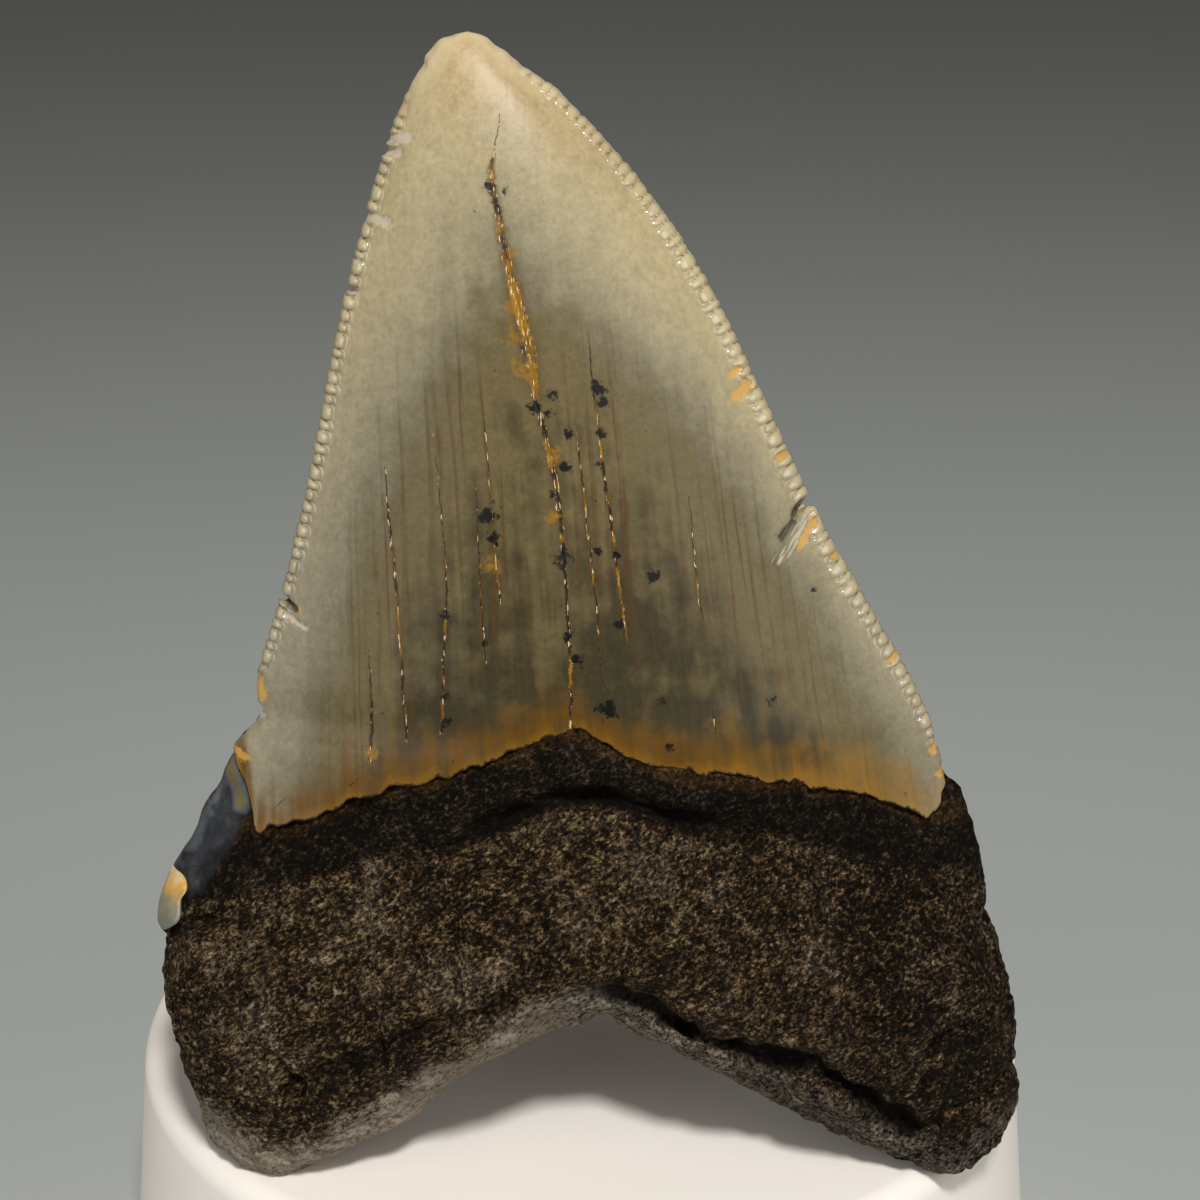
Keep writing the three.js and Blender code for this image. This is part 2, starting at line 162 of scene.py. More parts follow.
# Cracks in the enamel as (x, z, half width) from top to bottom. Two sets, so that in each one the cracks lie
# well apart.
MAIN_CRACK = [(-5.1, 77.2, 0.02), (-5.5, 74.6, 0.05), (-5.7, 73.2, 0.2), (-5.2, 70.3, 0.24),
              (-4.4, 66.5, 0.34), (-3.3, 61.9, 0.42), (-2.6, 57.8, 0.22), (-1.4, 52.5, 0.22),
              (-0.8, 47.2, 0.14), (-0.4, 40.2, 0.11), (-0.4, 35.2, 0.13)]
CRACKS_A = [
    MAIN_CRACK,
    [(0.9, 62.9, 0.02), (1.2, 58.7, 0.05), (2.4, 49.8, 0.12), (3.2, 43.9, 0.09), (3.7, 40.6, 0.02)],
    [(7.8, 51.5, 0.02), (8.4, 44.9, 0.07), (8.9, 42.7, 0.02)],
    [(-9.8, 55.8, 0.02), (-9, 46.4, 0.05), (-9.2, 40.5, 0.09), (-9.4, 34.7, 0.1)],
    [(-6.9, 53.2, 0.02), (-6.5, 44.1, 0.06), (-6.2, 39, 0.02)],
    [(-14.6, 40.5, 0.02), (-14.4, 36.3, 0.08), (-14.6, 32.2, 0.12)],
]
CRACKS_B = [
    [(-0.1, 56.9, 0.02), (0.7, 50.4, 0.07), (1.4, 43.9, 0.06), (1.9, 38.2, 0.02)],
    [(-6.3, 57.4, 0.02), (-5.4, 46.2, 0.07), (-5, 43.1, 0.02)],
    [(-13.3, 53.3, 0.02), (-13, 49.3, 0.08), (-12.5, 44.3, 0.09), (-11.9, 33.9, 0.12)],
    [(9.4, 37, 0.02), (9.6, 36, 0.07), (9.8, 34.8, 0.02)],
]
# Black mineral spots in the enamel as (x, z, radius), and orange patches.
SPOTS = [(-6, 50.3, 0.75), (-2.9, 57.5, 0.5), (-1.6, 58.4, 0.45), (-1.8, 57.2, 0.4), (-0.5, 55.8, 0.4),
         (-0.8, 53.5, 0.5), (1.6, 58.9, 0.6), (1.9, 57.9, 0.5), (1.7, 55.8, 0.4), (1.6, 53.8, 0.35),
         (-1.4, 51.7, 0.4), (-0.9, 47.4, 0.65), (1.4, 47.9, 0.5), (5.4, 46.1, 0.5), (2.8, 47.6, 0.35),
         (-9.1, 43.1, 0.45), (-0.6, 42.2, 0.5), (-0.1, 40.4, 0.5), (-6.4, 41.5, 0.3), (2.1, 36.9, 0.7),
         (6, 37.2, 0.45), (13.6, 36.9, 0.4), (6.5, 34.2, 0.4), (3, 42.8, 0.35), (-5.9, 72.3, 0.45),
         (-4.8, 72, 0.35), (-5.6, 48.9, 0.5), (-9, 35.8, 0.5), (-9.2, 37.6, 0.4), (16.8, 44.2, 0.25)]
PATCHES = [(-4.3, 62.6, 0.8), (-3.6, 60.2, 0.9), (-1.6, 54.3, 0.7), (-5.8, 46.8, 0.7), (-1.4, 50.3, 0.5),
           (-4.4, 67.9, 0.5), (-4.2, 64.4, 0.6), (-14.5, 33, 0.6)]
# Chips along the edge as strokes (x, z, x, z, half width, bite).
WHITE_CHIPS = [(16.5, 49.4, 14.3, 46.4, 0.6, 0.2), (-20.9, 42.2, -20.2, 41.8, 0.36, 0.2),
               (-20.2, 41.8, -19.3, 41.3, 0.24, 0.1), (-23.1, 35, -22.8, 34.7, 0.36, 0.05),
               (-12.7, 75.5, -11.5, 75.6, 0.5, 0.06), (-13.1, 74.7, -12.2, 74.6, 0.48, 0.15),
               (-14.5, 70.2, -13.1, 69.9, 0.55, 0.1), (-15.9, 65.3, -15.4, 65.3, 0.3, 0.3)]
AMBER_CHIPS = [(12, 58.6, 11.2, 57.9, 0.6, 0.1), (11.3, 59.7, 10.8, 59.3, 0.36, 0.05),
               (14.7, 53.7, 14.3, 53.5, 0.42, 0), (17, 49, 15.8, 47.2, 0.36, 0.1),
               (18.7, 46.6, 18.3, 46.4, 0.32, 0), (22.9, 39.1, 22.5, 38.7, 0.32, 0),
               (26.4, 32.6, 25.8, 32, 0.45, 0.1), (26.9, 30.6, 26.2, 30.2, 0.35, 0.1),
               (-23.1, 37.2, -22.9, 36.2, 0.7, 0.05), (-25.1, 32.2, -24, 31.5, 0.4, 0),
               (-20.1, 42.8, -19.9, 42.6, 0.3, 0)]
# Black strokes: painted shadow on the shaded sides of chipped scoops.
CHIP_SHADOWS = [(16.3, 50.1, 15.8, 49.5, 0.7, 0.9), (15.9, 49.7, 14.5, 48, 0.5, 0.3),
              (-21.2, 43.3, -20.2, 42.6, 0.36, 0.45)]
# The dark core of the crown lies between these two lines. Its border is soft, and softer by some millimetres
# over a stretch of heights, and the core fades out over another.
CORE_LEFT = [(-7, 72), (-8.6, 64.8), (-10.8, 58), (-13.8, 49.6), (-15.6, 40.9), (-17.8, 32.1), (-19, 24)]
CORE_RIGHT = [(-2.6, 72), (0, 66.2), (4.8, 60.1), (10, 53), (14.8, 43.8), (19, 36.4), (22, 31.1), (23.5, 24)]
CORE_BORDER = 9
CORE_SOFTER = 3
CORE_SOFTER_HEIGHTS = (50, 66)
CORE_FADE = (87, 54)
# Growth lines: the height at which they are told apart by x, their lean there, and how it changes with x.
GROWTH_FOOT = 35
GROWTH_LEAN = 0.085
GROWTH_SPREAD = 0.004

# Furrows in the root's shown face as (width, depth, path).
FURROWS = [
    (0.8, 0.8, [(-20.9, 8.5), (-16.1, 10.9), (-12.2, 13), (-8, 14.7), (-4.9, 15.9)]),
    (1, 1.8, [(2.7, 16.2), (8.6, 13.6), (14, 11.1), (17.3, 10.6), (21.9, 7.4), (24.4, 4.9)]),
    (0.7, 0.8, [(-30.5, 18.6), (-29.7, 19), (-27.1, 20), (-24.4, 20.6)]),
    (0.6, 0.7, [(-27.6, 14.6), (-25.1, 15.4), (-22.5, 15.8)]),
]
# Where the enamel broke away and left smooth dark dentine: (width, path).
BREAKS = [(2.2, [(-24.4, 31), (-25.6, 28), (-27, 25.6), (-28.6, 23.6)])]
# Where the enamel's broken thickness shows beside the left break.
ENAMEL_SECTION = [(-25.4, 31.6), (-25, 30), (-24.3, 28)]
# A flake of enamel left on the root: its outline, the middle and the half sizes of the smooth bed under it,
# the height of its rim over the root's face, and how far it swells over and under that.
FLAKE = [(-29.8, 23.2), (-28.7, 22.9), (-28.3, 22.2), (-28.7, 21.4), (-28.7, 20.3), (-29.3, 19.6),
         (-30.3, 19), (-30.9, 19.4), (-30.7, 21)]
FLAKE_BED = (-29.7, 21.3, 1.8, 2.8)
FLAKE_MIDDLE = 0.3
FLAKE_OVER = 0.42
FLAKE_UNDER = 0.8

# The photograph's camera, in millimetres from the middle of the stand's top, and the stage, in metres.
PHOTO_LENS = 67.18
PHOTO_SENSOR = 36
CAMERA_PLACE = (1.65, -165.8, 96.7)
CAMERA_TILT = radians(20.02)
CAMERA_NEAR = 0.01
KEY_TURN = radians(9)
KEY_SIZE = 0.07
KEY_DISTANCE = 0.5
SIDE_TURN = radians(52)
SIDE_HEIGHT = radians(20)
SIDE_SIZE = 0.5
SIDE_DISTANCE = 0.75
LAMP_AIM = Vector((0, -0.015, 0.06))
FLOOR_HALF_WIDTH = 3
FLOOR_NEAR = -2
FLOOR_FAR = 4


def linear(code):
    """An sRGB hex colour as linear red, green, blue and alpha."""
    parts = [int(code[k:k + 2], 16) / 255 for k in (0, 2, 4)]
    return tuple(v / 12.92 if v <= 0.04045 else ((v + 0.055) / 1.055) ** 2.4 for v in parts) + (1.0,)


def tint(label, code, description):
    """A colour property with its default from a hex value."""
    return FloatVectorProperty(name=label, description=description, subtype="COLOR", size=4, min=0, max=1,
                               default=linear(code))


def length(label, millimetres, description):
    """A length property, shown in the scene's units."""
    return FloatProperty(name=label, description=description, default=millimetres * MM, min=0, precision=5,
                         unit="LENGTH", subtype="DISTANCE")


class ToothShape(bpy.types.PropertyGroup):
    """Where the tooth stands, and the sizes of its relief"""
    lean: FloatProperty(name="Lean", description="How far the tooth leans back", default=radians(8),
                        subtype="ANGLE", unit="ROTATION")
    seat: length("Seat", 20.5, "From the stand's axis forward to the foot of the tooth's middle plane")
    sink: length("Sink", 1, "How far the tooth's own origin lies under the stand's top")
    enamel: length("Enamel thickness", 0.4, "How far the enamel stands over the root at its lower edge")
    bead_pitch: length("Bead pitch", 0.87, "Distance from bead to bead along the cutting edge")
    bead_height: length("Bead height", 0.22, "How far the beads stand out from the notches between them")
    crack_depth: length("Crack depth", 0.2, "Depth of the long crack down the crown")
    grain_height: length("Grain height", 0.14, "Relief of the root's grains")


class ToothColours(bpy.types.PropertyGroup):
    """Colours of the enamel, its marks and the root"""
    tip: tint("Tip", "a48a60", "Warm tan of the tip")
    margin: tint("Margins", "a3946f", "Pale cream of the crown's upper margins")
    margin_low: tint("Lower margins", "8b8069", "Greyer cream of the crown's lower margins")
    veil: tint("Veil", "6c6a5c", "Grey veil between the margins and the core")
    core: tint("Core", "605436", "Olive brown of the crown's core")
    core_deep: tint("Deep core", "352f1d", "Darkest part of the core, over the root")
    stain: tint("Stain", "5c3d04", "Orange brown along the enamel's lower edge")
    filling: tint("Crack filling", "8c6204", "Golden mineral in the cracks")
    seam: tint("Crack line", "241608", "Dark inside of the cracks")
    # Painted highlight: bright glints laid along the cracks.
    crack_highlight: tint("Crack glints", "e0c498", "Bright crumbs of mineral in the cracks")
    growth: tint("Growth lines", "4a3418", "Thin brown lines along the core")
    spot: tint("Spots", "030304", "Blue-black mineral spots")
    # Also laid as painted highlight over the beads' tops and the tip's rim.
    bead: tint("Beads", "c8b994", "Pearly beads of the cutting edge")
    facet: tint("Amber chips", "c4953f", "Amber facets of chips along the edge")
    chip: tint("White chips", "b8ae9a", "Fresh pale facets of chips along the edge")
    notch: tint("Notches", "5a3e1c", "Brown between the beads")
    root_dark: tint("Root, dark", "0a0805", "Dark ground of the root")
    root_mid: tint("Root, ground", "2b2013", "Brown ground between the root's grains")
    root_grain: tint("Root, grains", "6b5538", "Light grains on the root")
    # Painted highlight: few bright glints of light on the root's mineral grains.
    root_glint: tint("Root, specks", "b0a082", "Few bright specks on the root")
    lip: tint("Root, lips", "a29688", "Greyer skin along the arch")
    section: tint("Enamel, broken", "4a4d50", "Grey of the enamel's broken thickness")
    collar: tint("Collar", "0a0704", "Dark band under the enamel")
    dentine: tint("Broken dentine", "1c1d20", "Smooth dentine where the enamel broke away")


class StandShape(bpy.types.PropertyGroup):
    """Sizes and colour of the stand"""
    top_radius: length("Top radius", 36.2, "Radius of the stand's top, over its rounded rim")
    rim_round: length("Rim rounding", 2, "Radius of the rounded upper rim")
    foot_round: length("Foot rounding", 0.8, "Radius of the rounded lower edge")
    plaster: tint("Plaster", "f0e8de", "Off-white of the cast plaster")


class StageSettings(bpy.types.PropertyGroup):
    """Floor and lights"""
    floor: tint("Floor", "aeb2ad", "Pale grey of the floor")
    key_angle: FloatProperty(name="Key height", description="Elevation of the key light", default=radians(51),
                             subtype="ANGLE", unit="ROTATION")
    key_power: FloatProperty(name="Key power", description="Power of the key light", default=2.5, min=0,
                             subtype="POWER", unit="POWER")
    side_power: FloatProperty(name="Side power", description="Power of each side light", default=1.45, min=0,
                              subtype="POWER", unit="POWER")
    fill: FloatProperty(name="Fill", description="Strength of the even light all round", default=0.13, min=0)
    fill_colour: tint("Fill colour", "f6f1e8", "Warm white of the even light all round")


def smooth(low, high, value):
    """0 below low, 1 above high, and the cubic 3t^2 - 2t^3 between."""
    t = np.clip((value - low) / (high - low), 0, 1)
    return t * t * (3 - 2 * t)


def rounded(points, steps=24):
    """A smooth curve through the points: on each span a cubic whose slopes at the ends are half the step
    between the neighbouring points."""
    p = np.asarray(points, float)
    q = np.vstack([2 * p[0] - p[1], p, 2 * p[-1] - p[-2]])
    w = np.linspace(0, 1, steps, endpoint=False)[None, :, None]
    a, b = q[1:-2, None], q[2:-1, None]
    slope_a = (q[2:-1] - q[:-3])[:, None] / 2
    slope_b = (q[3:] - q[1:-2])[:, None] / 2
    curve = (2 * a - 2 * b + slope_a + slope_b) * w ** 3 + (3 * b - 3 * a - 2 * slope_a - slope_b) * w ** 2
    return np.vstack([(curve + slope_a * w + a).reshape(-1, p.shape[1]), p[-1:]])


def at(line, fraction):
    """Points at the given fractions of a line's length."""
    run = np.r_[0, np.cumsum(np.hypot(*np.diff(line, axis=0).T))]
    reach = fraction * run[-1]
    return np.stack([np.interp(reach, run, line[:, 0]), np.interp(reach, run, line[:, 1])], -1)


def height_at(line, x):
    """The height of a line that runs from left to right, over x."""
    return np.interp(x, line[:, 0], line[:, 1])


def side_at(line, z):
    """The x of a line that runs downwards, at height z."""
    return np.interp(z, line[::-1, 1], line[::-1, 0])


def distance_to(line, x, z):
    """Shortest distance from points to a line: the least over its stretches."""
    best = np.full(x.shape, np.inf)
    for (ax, az), (bx, bz) in zip(line[:-1], line[1:]):
        dx, dz = bx - ax, bz - az
        f = np.clip(((x - ax) * dx + (z - az) * dz) / max(dx * dx + dz * dz, 1e-12), 0, 1)
        best = np.minimum(best, np.hypot(x - ax - f * dx, z - az - f * dz))
    return best


def grain(points, size, seed):
    """Smooth random heights from -1 to 1: numbers on a lattice of the given cell size, eased between the
    eight corners of each cell."""
    table = np.random.default_rng(seed).uniform(-1, 1, (32, 32, 32))
    cell = points / size
    low = np.floor(cell).astype(int)
    part = cell - low
    part = part * part * (3 - 2 * part)
    total = np.zeros(points.shape[:-1])
    for corner in np.ndindex(2, 2, 2):
        step = np.array(corner)
        weight = np.prod(np.where(step, part, 1 - part), axis=-1)
        x, y, z = np.moveaxis((low + step) % 32, -1, 0)
        total = total + weight * table[x, y, z]
    return total


def grains(points, layers):
    """Grain of several sizes added up, from a height, a cell size and a seed for each."""
    return sum(height * grain(points, size, seed) for height, size, seed in layers)


CROWN_LEFT, CROWN_RIGHT = rounded(LEFT_EDGE), rounded(RIGHT_EDGE)
SIDE_LEFT, SIDE_RIGHT, ARCH = rounded(ROOT_LEFT), rounded(ROOT_RIGHT), rounded(ROOT_ARCH)
WHOLE_LEFT = np.vstack([CROWN_LEFT, rounded([LEFT_EDGE[-1]] + ROOT_LEFT[1:])])
WHOLE_RIGHT = np.vstack([CROWN_RIGHT, rounded([RIGHT_EDGE[-1]] + ROOT_RIGHT[1:])])
ROOT_OUTLINE = np.vstack([at(SIDE_LEFT, np.linspace(0, 1, 40)), at(ARCH, np.linspace(0, 1, 70)),
                          at(SIDE_RIGHT[::-1], np.linspace(0, 1, 40))])
GROOVE = rounded(COLLAR_GROOVE)


def face_depth(x, z, face):
    """Depth of a face from the edge's plane: across the crown a lens that thins towards the tip, over the
    root a slab with a rounded outline that thins towards the lobes, and a smooth change between them."""
    left, right = side_at(WHOLE_LEFT, z), side_at(WHOLE_RIGHT, z)
    across = np.clip((2 * x - left - right) / np.maximum(right - left, 1e-6), -1, 1)
    down = np.clip((TIP[1] - z) / CROWN_LENGTH, 0, 1)
    curve = CROWN_LENS + smooth(BLUNT_SHARE, 0, down)
    lens = face["crown"] * down ** CROWN_TAPER * (1 - np.abs(across) ** curve)
    slab = face["root"] + face["bulge"] * smooth(0, BULGE_RISE, height_at(GROOVE, x) - z)
    slab = slab - face["toe"] * (1 - smooth(*TOE_HEIGHTS, z))
    slab = slab * (1 - LOBE_THINNING * np.abs((x - LOBE_CENTRE) / LOBE_REACH) ** LOBE_CURVE)
    inward = np.clip(distance_to(ROOT_OUTLINE, x, z) / face["round"], 0, 1)
    slab = slab * np.sqrt(1 - (1 - inward) ** 2)
    crown_share = smooth(*BLEND_HEIGHTS, z)
    return lens * crown_share + slab * (1 - crown_share)


def to_world(points, shape):
    """From the tooth's millimetres to the frame's metres: a turn by the lean about x, and the seat's
    place."""
    x, y, z = np.moveaxis(points, -1, 0)
    c, s = cos(shape.lean), sin(shape.lean)
    height = (z * c - y * s) * MM + STAND_HIGH.z - shape.sink
    return np.stack([x * MM, (z * s + y * c) * MM - shape.seat, height], -1)


def end_weighted(count):
    """Fractions from 0 to 1 that lie closer together towards both ends: a cosine share and an even share."""
    s = np.linspace(0, 1, count + 1)
    return 0.3 * s + 0.7 * (0.5 - 0.5 * np.cos(pi * s))


def crown_plane(t, u, enamel_line):
    """Points of the crown in the edge's plane: rows straight from edge to edge, bowed by t^3 into the line
    where the enamel ends."""
    left, right = at(CROWN_LEFT, t), at(CROWN_RIGHT, t)
    chord = CROWN_LEFT[-1] + (CROWN_RIGHT[-1] - CROWN_LEFT[-1]) * u[..., None]
    bow = (at(enamel_line, u) - chord) * t[..., None] ** 3
    return left + (right - left) * u[..., None] + bow


def crack_fraction(t, enamel_line):
    """Where each row crosses the long crack, as a fraction of the row, eased to its middle at the tip."""
    tries = np.linspace(0, 1, 241)
    plane = crown_plane(*np.broadcast_arrays(t, tries[None]), enamel_line)
    path = np.array(MAIN_CRACK)[:, :2]
    offset = plane[..., 0] - side_at(path, plane[..., 1])
    past = offset > 0
    after = np.clip(np.where(past.any(axis=1), np.argmax(past, axis=1), tries.size), 1, tries.size - 1)
    row = np.arange(t.size)
    before_gap, gap = -offset[row, after - 1], offset[row, after] - offset[row, after - 1]
    share = np.clip(before_gap / np.where(np.abs(gap) < 1e-9, 1, gap), 0, 1)
    found = np.clip(tries[after - 1] + share * (tries[1] - tries[0]), 0.2, 0.8)[:, None]
    return 0.5 + (found - 0.5) * smooth(0, 0.12, t)


def crown_fractions(rows, columns, enamel_line):
    """Row and column fractions: columns crowd at both edges and along the long crack."""
    t = np.linspace(0, 1, rows + 1)[:, None]
    half = end_weighted(columns // 2)[None]
    middle = crack_fraction(t, enamel_line)
    u = np.hstack([half * middle, (middle + half * (1 - middle))[:, 1:]])
    return np.broadcast_arrays(t, u)


def beads(run, pitch, seed):
    """The cutting edge's beads from 0 in the notches to 1: arches one pitch long over the length along the
    edge, of uneven size."""
    place = np.maximum(run / pitch, 0)
    drift = np.random.default_rng(seed)
    place = place + BEAD_DRIFT * np.interp(place, np.arange(BEAD_COUNT), drift.uniform(-1, 1, BEAD_COUNT))
    arch = 1 - np.abs(2 * (place % 1) - 1) ** 3
    size = drift.uniform(*BEAD_SIZES, BEAD_COUNT)[np.clip(place.astype(int), 0, BEAD_COUNT - 1)]
    return arch * size


def nearest_crack(cracks, x, z):
    """Signed sideways offset to the nearest crack of a set, and that crack's half width there, both in
    millimetres."""
    offset = np.full(x.shape, 9.0)
    width = np.zeros(x.shape)
    for path in cracks:
        line = rounded(path)
        aside = x - side_at(line, z)
        there = np.interp(z, line[::-1, 1], line[::-1, 2], left=0, right=0)
        closer = (np.abs(aside) < np.abs(offset)) & (there > 0)
        offset = np.where(closer, aside, offset)
        width = np.where(closer, there * smooth(1.3, 0.8, np.abs(aside)), width)
    return offset, width


def jagged(line):
    """The line sampled closely and shifted up and down by grain of two sizes, but not at its ends."""
    u = np.linspace(0, 1, 600)
    points = at(line, u)
    flat = np.stack([points[:, 0], np.zeros(u.size), points[:, 1]], -1)
    points[:, 1] += grains(flat, ENAMEL_JAGS) * smooth(0, 0.06, u) * smooth(1, 0.94, u)
    return points


def strongest(marks, x, z):
    """For round marks (x, z, radius): 1 at the centre of the nearest one, 0 at its radius and down to -1."""
    reach = [1 - np.hypot(x - mark_x, z - mark_z) / radius for mark_x, mark_z, radius in marks]
    return np.clip(np.max(reach, axis=0), -1, 1)


def strokes(marks, x, z):
    """For strokes (x, z, x, z, half width, bite): 1 along the nearest one and 0 at its half width, and its
    bite."""
    field = np.full(x.shape, -1.0)
    bite = np.zeros(x.shape)
    for ax, az, bx, bz, width, deep in marks:
        near = 1 - distance_to(np.array([(ax, az), (bx, bz)]), x, z) / width
        field = np.maximum(field, near)
        bite = np.maximum(bite, deep * smooth(0, 0.6, near))
    return field, bite


def nearer_edge(t, plane):
    """For points of the crown: the distance from the nearer cutting edge, whether that is the left one, the
    length along each edge, and the way outward from the nearer one."""
    curves = (CROWN_LEFT, CROWN_RIGHT)
    feet = [at(curve, t) for curve in curves]
    gaps = [np.hypot(*np.moveaxis(plane - foot, -1, 0)) for foot in feet]
    on_left = gaps[0] < gaps[1]
    ways = [np.gradient(at(curve, t[:, 0]), axis=0) for curve in curves]
    ways = [(way / np.hypot(*way.T)[:, None])[:, None] for way in ways]
    runs = [t * np.hypot(*np.diff(curve, axis=0).T).sum() + ((plane - foot) * way).sum(-1)
            for curve, foot, way in zip(curves, feet, ways)]
    outward = np.where(on_left[..., None], ways[0][..., ::-1] * (1, -1), ways[1][..., ::-1] * (-1, 1))
    return ROW_SLANT * np.minimum(*gaps), on_left, runs, outward


def standing_beads(shape, t, on_left, runs, chipped):
    """The beads that wear and chips have left, from 0 to 1, and the share of them that is left at each
    point."""
    pitch = shape.bead_pitch / MM
    bead = np.where(on_left, beads(runs[0], pitch, 3), beads(runs[1], pitch, 5))
    first, last = np.where(on_left[..., None], *BEAD_SPANS).transpose(2, 0, 1)
    fade_in, fade_out = BEAD_FADES
    present = smooth(0, fade_in, t - first) * smooth(0, fade_out, last - t) * smooth(0.5, 0.1, chipped)
    return bead * present, present


def core_share(x, z):
    """How far points lie in the crown's dark core: 0 well outside its two lines, 1 well inside them, with a
    softer border higher up, and fading out towards the tip."""
    inside = np.minimum(x - side_at(np.array(CORE_LEFT), z), side_at(np.array(CORE_RIGHT), z) - x)
    border = CORE_BORDER + CORE_SOFTER * smooth(*CORE_SOFTER_HEIGHTS, z)
    return smooth(-1, 0.78, inside / border) * smooth(*CORE_FADE, z)


def crown_sheet(shape, face, rows, columns):
    """One face of the crown as points in the tooth's frame, with its marks. The depth is the lens plus the
    enamel's thickness, which is rounded off at the edge; beads and chips shift the edge in its own plane."""
    front = face is FRONT
    line = jagged(np.array(face["enamel"], float)) if front else rounded(face["enamel"])
    t, u = crown_fractions(rows, columns, line)
    plane = crown_plane(t, u, line)
    x, z = plane[..., 0], plane[..., 1]
    flat = np.stack([x, np.zeros(x.shape), z], -1)
    edge, on_left, runs, outward = nearer_edge(t, plane)

    chips, bites = zip(*(strokes(kind, x, z) for kind in (WHITE_CHIPS, AMBER_CHIPS, CHIP_SHADOWS)))
    bite = np.max(bites, axis=0)
    bead, present = standing_beads(shape, t, on_left, runs, np.clip(np.max(chips, axis=0), 0, 1))
    shift = shape.bead_height / MM * (bead - 0.5) * np.exp(-(edge / BEAD_INSET) ** 2)
    shift = shift - bite * np.exp(-edge / CHIP_INSET)
    shift = shift + EDGE_WEAR * (1 - present) * grain(flat, 0.7, 16) * np.exp(-(edge / EDGE_ROUND) ** 2)
    shift = shift * smooth(0, 0.05, t)
    moved = plane + outward * shift[..., None]

    skin = np.sqrt(1 - (1 - np.clip(edge / EDGE_ROUND, 0, 1)) ** 2)
    depth = face_depth(x, z, face) + shape.enamel / MM * skin
    pearl = np.sqrt(np.clip(bead - (edge / np.where(on_left, *BEAD_REACH)) ** 2, 0, 1))
    depth = depth + BEAD_LIFT * pearl * smooth(0, 0.25, edge)
    depth = depth + skin * grains(flat, ENAMEL_RIPPLES)
    offset_a, width_a = nearest_crack(CRACKS_A, x, z)
    offset_b, width_b = nearest_crack(CRACKS_B, x, z)
    spot, patch = strongest(SPOTS, x, z), strongest(PATCHES, x, z)
    if front:
        opened = np.exp(-(offset_a / CRACK_HALF_WIDTH) ** 2) * smooth(0.03, 0.2, width_a)
        depth = depth - shape.crack_depth / MM * opened * (0.7 + 0.3 * grain(flat, 0.5, 13))
        depth = np.where(edge > 0, np.maximum(depth - 0.5 * bite * skin, 0.3 * depth), 0)
    else:
        spot, patch, width_a, width_b = -np.ones((4,) + x.shape)
        chips = [field - 2 * smooth(0.5, 1.2, edge) for field in chips]
    sheet = np.stack([moved[..., 0], face["side"] * depth, moved[..., 1]], -1)

    above = z - np.interp(x, *line[np.argsort(line[:, 0])].T)
    growth = x + (z - GROWTH_FOOT) * (GROWTH_LEAN + GROWTH_SPREAD * x)
    marks = {
        "zone": np.stack([core_share(x, z), above, edge], -1),
        "crack_offset": np.stack([offset_a, offset_b, growth], -1),
        "crack_width": np.stack([width_a, width_b, pearl], -1),
        "blot": np.stack([spot, patch, present], -1),
        "chip": np.stack(chips, -1),
    }
    return cupped(sheet, marks, CUP_ROWS if front else CUP_ROWS // 2)


def cupped(sheet, marks, rows):
    """The sheet with rows added that turn inward from its lower edge and up into the crown, to close it."""
    share = np.linspace(0, 1, rows + 1)[1:, None, None]
    last = sheet[-1][None]
    x, y, z = np.moveaxis(last, -1, 0)[..., None]
    cup = np.concatenate([x * (1 - CUP_NARROWS * share), y * (1 - CUP_THINS * share),
                          z + CUP_RISE * share], -1)
    repeated = {name: np.concatenate([m, np.repeat(m[-1:], rows, 0)]) for name, m in marks.items()}
    return np.concatenate([sheet, cup]), repeated


def root_plane(face, rows, columns):
    """Row fractions, and points of the root in the edge's plane: a patch between a line tucked under the
    enamel, both sides and the arch, as the blend down plus the blend across less the corners' blend."""
    tucked = np.array(face["between"]) + (0, ROOT_TUCK)
    top = rounded(np.vstack([SIDE_LEFT[:1], tucked, SIDE_RIGHT[:1]]))
    s = np.linspace(0, 1, rows + 1)
    t, u = np.meshgrid(0.35 * s + 0.65 * np.sin(pi / 2 * s), end_weighted(columns), indexing="ij")
    t_, u_ = t[..., None], u[..., None]
    corners = (1 - u_) * ((1 - t_) * top[0] + t_ * ARCH[0]) + u_ * ((1 - t_) * top[-1] + t_ * ARCH[-1])
    plane = (1 - t_) * at(top, u) + t_ * at(ARCH, u) + (1 - u_) * at(SIDE_LEFT, t) + u_ * at(SIDE_RIGHT, t)
    return t, plane - corners


